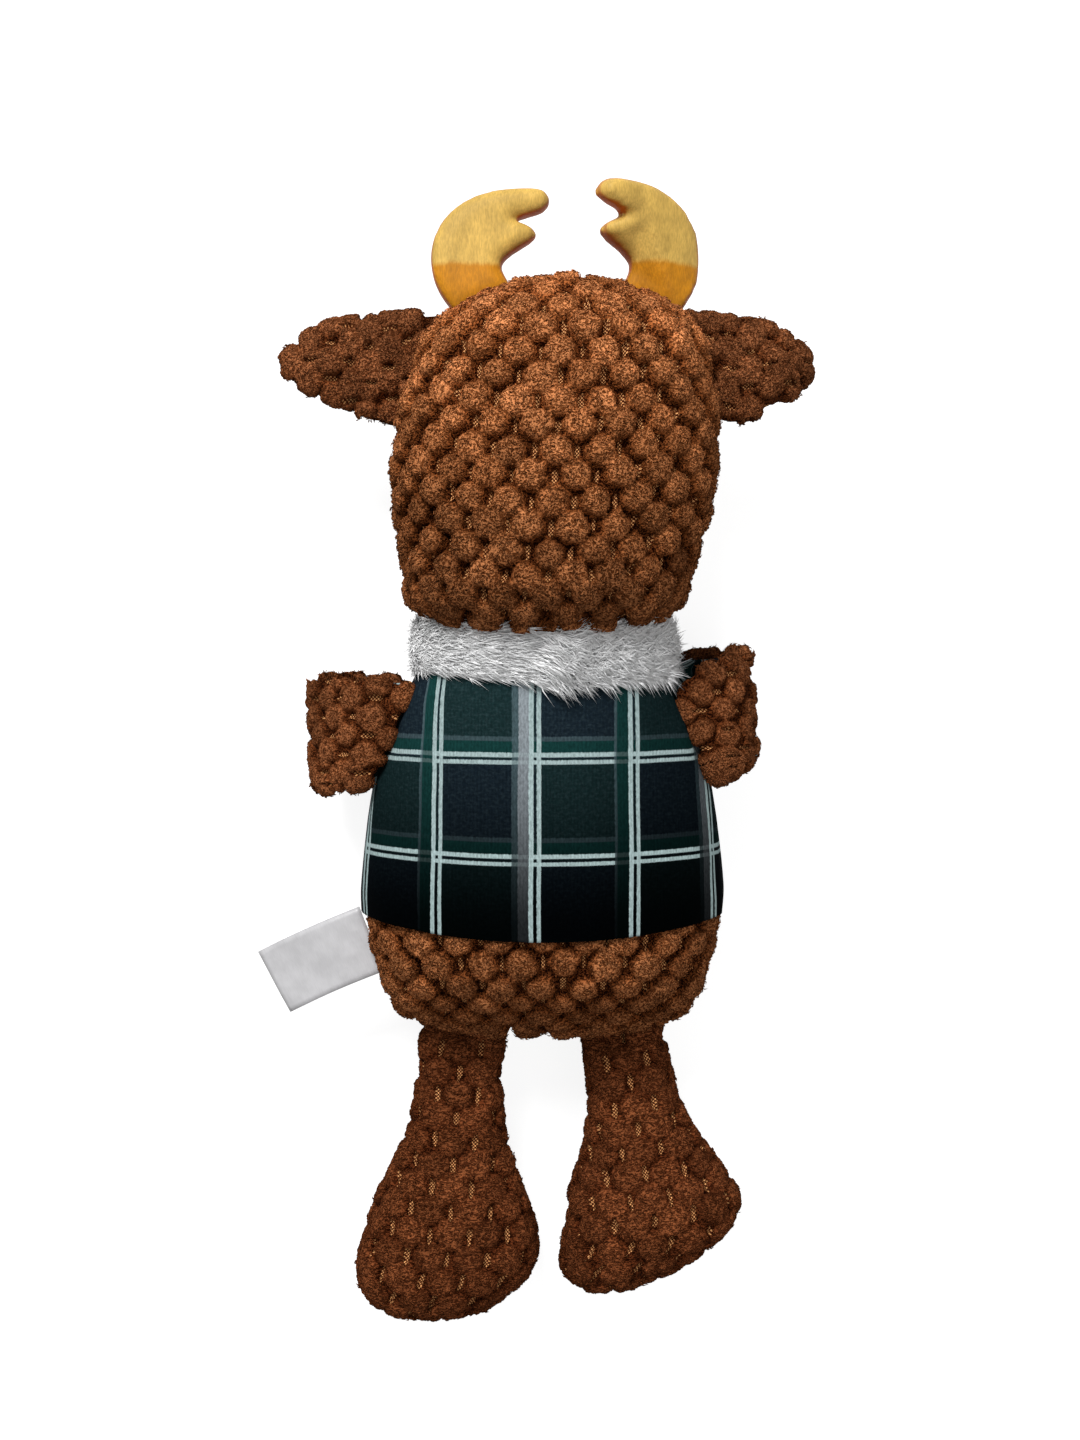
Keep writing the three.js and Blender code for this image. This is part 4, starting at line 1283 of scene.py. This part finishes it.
@dataclass
class Head:
    """Stuffed head with its face: muzzle, nose and button eyes."""

    sink: float = 3.4 * MM
    bow: float = -3.5
    # Painted light: the head's plush is painted lighter towards its top, where the light falls
    painted_light_grade: tuple[float, float, float, float] = (100 * MM, 205 * MM, 0.84, 1.82)

    def build(self) -> None:
        """Makes the head's skin and the face."""
        piece = StuffedForm("head_skin", ("head_cover",), sink=self.sink).sew()
        places = ClothPlaces.wrapped(points_of(piece), Vector((0, 1, 0)), bow=self.bow)
        pressed = ("muzzle", "eye_left", "eye_right")
        BobbleCloth(height=4.5 * MM, seed=3, pressed_by=pressed).raise_on(piece, places)
        TuftedPile(16500, seed=4).plant(piece)
        # Its tip colour is the painted highlight on the bobbles' tops
        plush = BobblePlush(
            "head_plush", tuft=srgb(128, 71, 35), tip=srgb(172, 110, 68), pile=1.0 * MM, painted_light_grade=self.painted_light_grade
        )
        dress(piece, plush.material(), "brown_plush", "head_cover", "head_filling")
        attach(piece, "head")
        self.pad("muzzle_pad", "muzzle", ShortPile("muzzle_plush", srgb(217, 195, 160)), "cream_plush")
        self.pad("nose_pad", "nose", ShortPile("nose_velboa", srgb(38, 26, 22)), "dark_velboa")
        for side in Side:
            self.eye(side)

    @staticmethod
    def pad(name: str, node: str, finish: ShortPile, slot: str) -> None:
        """Makes one padded piece of the face.

        Args:
            name: The piece's name.
            node: The solid that it stands for.
            finish: Its plush.
            slot: The record's slot for it.
        """
        padded = StuffedForm(
            name, (node,), cell=2.6 * MM, swell=0.5 * MM, hollow=False, sink=-0.3 * MM, soften=6
        )
        piece = padded.sew()
        dress(piece, finish.material(), slot, node)
        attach(piece, "head")

    @staticmethod
    def eye(side: Side) -> None:
        """Polishes one button eye."""
        node = frame["nodes"][f"eye_{side.value}"]
        node.data.materials.clear()
        node.data.materials.append(ButtonPlastic(f"eye_plastic_{side.value}").material())


@dataclass
class Ear:
    """Padded leaf of darker plush, sewn along the side of the head."""

    side: Side
    bend: float = 8 * MM
    depth: float = 5 * MM
    reach: float = 16 * MM

    def build(self) -> None:
        """Makes the ear and stretches its sewn end into the head."""
        name = f"ear_{self.side.value}"
        form = StuffedForm(
            f"{name}_skin", (name,), cell=3 * MM, swell=0.6 * MM, hollow=False, sink=1.6 * MM
        )
        piece = form.sew()
        seam = joint_point(f"ear_fold_{self.side.value}")
        outwards = Vector((self.side.sign, 0, 0))
        reach_in(piece, seam, outwards, self.depth, self.reach)
        places = ClothPlaces.wrapped(points_of(piece), outwards)
        cloth = replace(
            FINE_CLOTH, column=12.6 * MM, row=6.9 * MM, slit_length=4.4 * MM, seed=20 + self.side.sign
        )
        cloth.raise_on(piece, places)
        TuftedPile(6500, length=1.9 * MM, stand=0.15, seed=25 + self.side.sign).plant(piece)
        dress(piece, BobblePlush(f"{name}_plush").material(), "brown_plush", name)
        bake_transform(piece)


@dataclass
class Antler:
    """Flat padded antler of gold velboa, sewn into the crown."""

    side: Side
    bend: float = 8 * MM

    def build(self) -> None:
        """Makes the antler."""
        name = f"antler_{self.side.value}"
        form = StuffedForm(
            f"{name}_pad", (name,), cell=2 * MM, swell=0.6 * MM, hollow=False, sink=-0.7 * MM, soften=8
        )
        piece = form.sew()
        # How far each point faces sideways, for the painted shade on the antler's sides
        note(piece, "side", 1 - np.abs(normals_of(piece)[:, 2]))
        dress(piece, Velboa(f"{name}_velboa").material(), "gold_velboa", name, fill=0.8)
        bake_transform(piece)


@dataclass
class Arm:
    """Flat strap folded forwards, with bobbled plush outside and a plaid lining inside."""

    side: Side
    plush_sink: float = 1.8 * MM
    lining_width: float = 0.92
    bend_aside: float = 6 * MM
    bend_down: float = 9 * MM

    def build(self) -> None:
        """Makes the strap's two layers."""
        self.layer("plush", self.plush_sink)
        self.layer("lining", 0.0)

    def layer(self, kind: str, sink: float) -> None:
        """Makes one layer.

        Args:
            kind: Plush or lining.
            sink: How far the layer is drawn in from its solid.
        """
        node = f"arm_{self.side.value}_{kind}"
        form = StuffedForm(
            f"{node}_layer", (node,), cell=2.2 * MM, swell=0.5 * MM, hollow=False, sink=sink
        )
        piece = form.sew()
        if kind == "plush":
            self.raise_plush(piece, node)
        else:
            self.narrow(piece)
            places = ClothPlaces.wrapped(points_of(piece), Vector((0, 1, 0)))
            lay_cloth(piece, places.across, places.along)
            dress(piece, PlaidVelour(node).material(), "plaid_velour", node)
        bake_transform(piece)

    def raise_plush(self, piece: bpy.types.Object, node: str) -> None:
        """Raises the bobbles of the outer layer, but for where it lies on the lining."""
        places = ClothPlaces.wrapped(points_of(piece), Vector((0, 1, 0)))
        cloth = replace(
            FINE_CLOTH, column=13.2 * MM, row=6.65 * MM, slit_length=4 * MM, turned=True,
            seed=30 + self.side.sign, pressed_by=(f"arm_{self.side.value}_lining",), press_reach=3 * MM,
        )
        cloth.raise_on(piece, places)
        TuftedPile(6500, length=1.9 * MM, stand=0.15, seed=35 + self.side.sign).plant(piece)
        dress(piece, BobblePlush(node).material(), "brown_plush", node)

    def narrow(self, piece: bpy.types.Object) -> None:
        """Draws the lining in from the strap's edges."""
        points = points_of(piece)
        middle = (points[:, 1].min() + points[:, 1].max()) / 2
        points[:, 1] = middle + self.lining_width * (points[:, 1] - middle)
        place_points(piece, points)


@dataclass
class Leg:
    """Stuffed leg, narrow at the thigh and wide at the foot, of flatter bobbles."""

    side: Side
    bend: float = 14 * MM
    depth: float = 9 * MM
    reach: float = 30 * MM

    def build(self) -> None:
        """Makes the leg's skin and stretches its sewn end into the trunk at the hip's seam."""
        name = f"leg_{self.side.value}"
        piece = StuffedForm(f"{name}_skin", (f"{name}_cover",), swell=1 * MM, sink=2.2 * MM).sew()
        axis = Vector(joint(f"hip_{self.side.value}")["axis"])
        away = axis.cross(Vector((0, 0, 1))).normalized()
        if away.y > 0:
            away = -away
        seam = joint_point(f"hip_{self.side.value}")
        reach_in(piece, seam, away, self.depth, self.reach)
        places = ClothPlaces.wrapped(points_of(piece), -away)
        cloth = BobbleCloth(
            height=3.2 * MM, radius=5.8 * MM, filled=0.35, slit_width=1.7 * MM, slit_length=5.6 * MM,
            seed=40 + self.side.sign,
        )
        cloth.raise_on(piece, places)
        pile = TuftedPile(14000, length=2.2 * MM, stand=0.15, comb=(1.2, 0, 0), seed=45 + self.side.sign)
        pile.plant(piece)
        # Its tip colour is the painted highlight on the bobbles' tops
        plush = BobblePlush(
            f"{name}_plush", comb=(0.45, 1.0, 1.0), tuft=srgb(104, 53, 27), tip=srgb(132, 76, 44)
        )
        dress(piece, plush.material(), "brown_plush", f"{name}_cover", f"{name}_filling")
        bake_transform(piece)


@dataclass
class Collar:
    """Faux-fur band round the neck, joined at the back, with its fur combed towards the join."""

    strands: int = 15000
    length: float = 8 * MM
    thick: float = 0.27 * MM
    join_x: float = 3.5 * MM
    join_width: float = 7 * MM
    fluff_from: float = 8 * MM
    fluff_over: float = 20 * MM
    sink: float = 2.6 * MM
    rise: float = 3 * MM
    scatter_by: float = 0.4 * MM
    lengths: Span = (0.7, 1.25)
    thicknesses: Span = (0.7, 1.3)
    lifts: Span = (0.0, 0.22)
    curls: Span = (0.0, 0.35)
    bend_behind: float = 9 * MM
    bend_ahead: float = 12 * MM
    seed: int = 5

    def build(self) -> None:
        """Makes the band, plants the strands on it and joins the two."""
        form = StuffedForm(
            "neck_collar", ("collar",), cell=3 * MM, levels=1, swell=0.0, hollow=False, sink=self.sink
        )
        band = form.sew()
        points = points_of(band)
        low, high = points[:, 1].min(), points[:, 1].max()
        points[:, 1] += self.rise * (0.6 + 0.8 * (points[:, 1] - low) / (high - low))
        place_points(band, points)
        note(band, "pile", np.full(len(band.data.vertices), 0.3))
        note(band, "tone", np.full(len(band.data.vertices), 0.5))
        join_to(band, self.fur(band))
        press_on_table(band)
        dress(band, FauxFur("white_fur").material(), "white_fur", "collar", fill=0.5)
        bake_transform(band)

    def fur(self, band: bpy.types.Object) -> bpy.types.Object:
        """Plants tapered closed strands over the band's outer side."""
        rng = np.random.default_rng(self.seed)
        roots, normals = self.scatter(band, rng)
        lie = self.comb(roots, normals, rng)
        count = len(roots)
        joined = self.near_join(roots)[:, None]
        length = self.length * rng.uniform(*self.lengths, count)[:, None] * (1 + 0.3 * joined)
        lift = rng.uniform(*self.lifts, count)[:, None] + self.fluff(roots)[:, None] * 0.3 + 0.35 * joined
        start = unit(normals * lift * 1.6 + lie)
        curl = lie - normals * rng.uniform(*self.curls, count)[:, None]
        middle = roots + start * length * 0.45
        tip = middle + unit(curl + 0.35 * start) * length * 0.6
        side = unit(np.cross(start, normals))
        other = np.cross(start, side)
        thick = self.thick * rng.uniform(*self.thicknesses, count)[:, None]
        rings = []
        for place, share in ((roots, 1.0), (middle, 0.85)):
            for turn in (0, 2 * math.pi / 3, 4 * math.pi / 3):
                rings.append(place + thick * share * (side * math.cos(turn) + other * math.sin(turn)))
        pattern = ((2, 1, 0), (0, 1, 4, 3), (1, 2, 5, 4), (2, 0, 3, 5), (3, 4, 6), (4, 5, 6), (5, 3, 6))
        fur = strands_of("fur", np.stack([*rings, tip], axis=1), pattern)
        note(fur, "pile", np.tile([0.1, 0.1, 0.1, 0.7, 0.7, 0.7, 1.0], count))
        note(fur, "tone", np.repeat(rng.uniform(0, 1, count), 7))
        return fur

    def scatter(self, band: bpy.types.Object, rng: np.random.Generator) -> tuple[np.ndarray, np.ndarray]:
        """Picks random roots all over the band, with the directions that they face."""
        points, normals = points_of(band), normals_of(band)
        neck = np.array(joint_point("neck_nod"))
        outer = ((points - neck) * normals * np.array([1, 0, 1])).sum(1) > 0
        picked = rng.choice(np.flatnonzero(outer), self.strands)
        strayed = rng.uniform(-self.scatter_by, self.scatter_by, (self.strands, 3))
        return points[picked] + strayed, normals[picked]

    def comb(self, roots: np.ndarray, normals: np.ndarray, rng: np.random.Generator) -> np.ndarray:
        """Gives the direction that each strand is combed in: round the neck, and down at the join."""
        around = unit(np.cross(np.array([0.0, 1.0, 0.0]), normals))
        right = roots[:, 0] > self.join_x
        down = np.where(right, rng.normal(0, 0.7, len(roots)), rng.normal(-0.06, 0.2, len(roots)))
        down -= 0.7 * self.near_join(roots)
        lie = around + np.array([0.0, 1.0, 0.0]) * down[:, None]
        return unit(lie + rng.normal(0, 0.14, lie.shape))

    def near_join(self, roots: np.ndarray) -> np.ndarray:
        """Gives how near each root is to the join at the back of the neck, from 0 to 1."""
        near = np.exp(-(((roots[:, 0] - self.join_x) / self.join_width) ** 2))
        return near * (roots[:, 2] > joint_point("neck_nod").z)

    def fluff(self, roots: np.ndarray) -> np.ndarray:
        """Gives how much the fur stands up: it lies flat on the left and is fluffy on the right."""
        return np.clip((roots[:, 0] - self.join_x + self.fluff_from) / self.fluff_over, 0, 1)


@dataclass
class CareLabel:
    """Bare satin strip in the left side seam, drooping to its end."""

    width: float = 25 * MM
    length: float = 42 * MM
    thick: float = 0.3 * MM
    turn: float = 21.0
    bend: float = 8.0
    droop: float = 9 * MM
    taken_up: float = 0.96
    ripple: float = 0.8 * MM
    ripple_turn: float = 2.2 * math.pi
    ripple_slant: float = 0.3
    steps: int = 24
    columns: int = 12

    def build(self) -> None:
        """Makes the strip as a sheet that hangs from the seam."""
        seam = joint_point("label_flap")
        points = []
        place = seam.copy()
        for i in range(self.steps + 1):
            share = i / self.steps
            way = self.way(share)
            beside = Vector((-way.y, way.x, 0)) * self.width / self.columns
            drop = -self.droop * share**2
            for j in range(-self.columns // 2, self.columns // 2 + 1):
                lift = self.ripple * math.sin(self.ripple_turn * share + self.ripple_slant * j) * share
                points.append(place + beside * j + Vector((0, 0, drop + lift)))
            place += way * self.length * self.taken_up / self.steps
        row = self.columns + 1
        corners = [row * i + j for i in range(self.steps) for j in range(self.columns)]
        faces = [(corner, corner + 1, corner + row + 1, corner + row) for corner in corners]
        piece = new_piece("label_ribbon", points, faces)
        index = np.arange(len(points))
        lay_cloth(
            piece, (index % row) / self.columns * self.width, (index // row) / self.steps * self.length
        )
        finish_with(piece, "SOLIDIFY", thickness=self.thick, offset=0.0)
        shade_smooth(piece)
        piece.data.materials.clear()
        piece.data.materials.append(SatinRibbon("white_satin").material())
        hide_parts("care_label")
        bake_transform(piece)
        log.info("label_ribbon: %d faces", len(piece.data.polygons))

    def way(self, share: float) -> Vector:
        """Gives the direction that the strip runs in at a share of its length."""
        angle = math.radians(self.turn + self.bend * share)
        return Vector((-math.cos(angle), -math.sin(angle), 0))


@dataclass
class Studio:
    """White floor, soft light and the camera straight above. The focal length is in pixels."""

    eye: Triple = (-1 * MM, 50 * MM, 650 * MM)
    focal: float = 1696.0
    image_height: float = 1440.0
    aim: Triple = (0.0, 0.05, 0.04)
    floor_size: float = 8.0
    floor_glow: float = 0.86
    floor_grey: float = 0.42
    world_light: float = 0.36

    def build(self) -> None:
        """Sets up the floor, the lamps, the world and the camera."""
        self.floor()
        self.lamp("key", (-0.4, 1.1, 1.25), 0.6, 26.0)
        self.lamp("fill", (0.8, -0.5, 1.1), 1.4, 3.5)
        self.world()
        self.camera()
        bpy.context.scene.view_settings.view_transform = "Standard"

    def floor(self) -> None:
        """Lays the floor, which is white to the camera but for the toy's soft shadow."""
        bpy.ops.object.select_all(action="DESELECT")
        bpy.ops.mesh.primitive_plane_add(size=self.floor_size)
        floor = bpy.context.active_object
        floor.name = "floor"
        bench = Bench("floor_white")
        path = bench.add("ShaderNodeLightPath")
        seen = bench.maths("MAXIMUM", path.outputs["Is Camera Ray"], path.outputs["Is Glossy Ray"])
        seen = bench.maths("MAXIMUM", seen, path.outputs["Is Transmission Ray"])
        glow = bench.add("ShaderNodeEmission")
        glow.inputs["Color"].default_value = (1, 1, 1, 1)
        bench.feed(glow.inputs["Strength"], bench.product(seen, self.floor_glow))
        total = bench.add("ShaderNodeAddShader")
        bench.feed(total.inputs[0], bench.shader.outputs[0])
        bench.feed(total.inputs[1], glow.outputs[0])
        output = next(node for node in bench.tree.nodes if node.type == "OUTPUT_MATERIAL")
        bench.feed(output.inputs[0], total.outputs[0])
        floor.data.materials.append(bench.finish((self.floor_grey,) * 3, 0.9, Specular_IOR_Level=0.0))

    def lamp(self, name: str, place: Triple, size: float, power: float) -> None:
        """Hangs a square soft lamp that looks at the toy.

        Args:
            name: The lamp's name.
            place: Where it hangs, in metres.
            size: Length of its side, in metres.
            power: Its power, in watts.
        """
        bpy.ops.object.select_all(action="DESELECT")
        bpy.ops.object.light_add(type="AREA", location=place)
        lamp = bpy.context.active_object
        lamp.name = name
        lamp.data.size = size
        lamp.data.energy = power
        lamp.rotation_euler = (Vector(self.aim) - Vector(place)).to_track_quat("-Z", "Y").to_euler()

    def world(self) -> None:
        """Makes the world a plain white to the camera and a soft grey light on the toy."""
        world = bpy.data.worlds.new("studio")
        world.use_nodes = True
        tree = world.node_tree
        path = tree.nodes.new("ShaderNodeLightPath")
        strength = tree.nodes.new("ShaderNodeMapRange")
        seen = tree.nodes.new("ShaderNodeMath")
        seen.operation = "MAXIMUM"
        tree.links.new(path.outputs["Is Camera Ray"], seen.inputs[0])
        tree.links.new(path.outputs["Is Glossy Ray"], seen.inputs[1])
        tree.links.new(seen.outputs[0], strength.inputs[0])
        strength.inputs["To Min"].default_value = self.world_light
        strength.inputs["To Max"].default_value = 1.0
        back = tree.nodes["Background"]
        back.inputs[0].default_value = (1, 1, 1, 1)
        tree.links.new(strength.outputs[0], back.inputs[1])
        bpy.context.scene.world = world

    def camera(self) -> None:
        """Hangs the camera over the toy, looking straight down with the head at the top."""
        bpy.ops.object.camera_add(location=self.eye, rotation=(0, 0, 0))
        camera = bpy.context.active_object
        camera.data.lens = camera.data.sensor_width * self.focal / self.image_height
        camera.data.clip_start = 0.01
        bpy.context.scene.camera = camera


def main() -> None:
    """Builds the toy's pieces in order, then the collar and the label."""
    Studio().build()
    Trunk().build()
    Head().build()
    for side in Side:
        Ear(side).build()
        Antler(side).build()
        Arm(side).build()
        Leg(side).build()
    Collar().build()
    CareLabel().build()


if __name__ == "__main__":
    main()
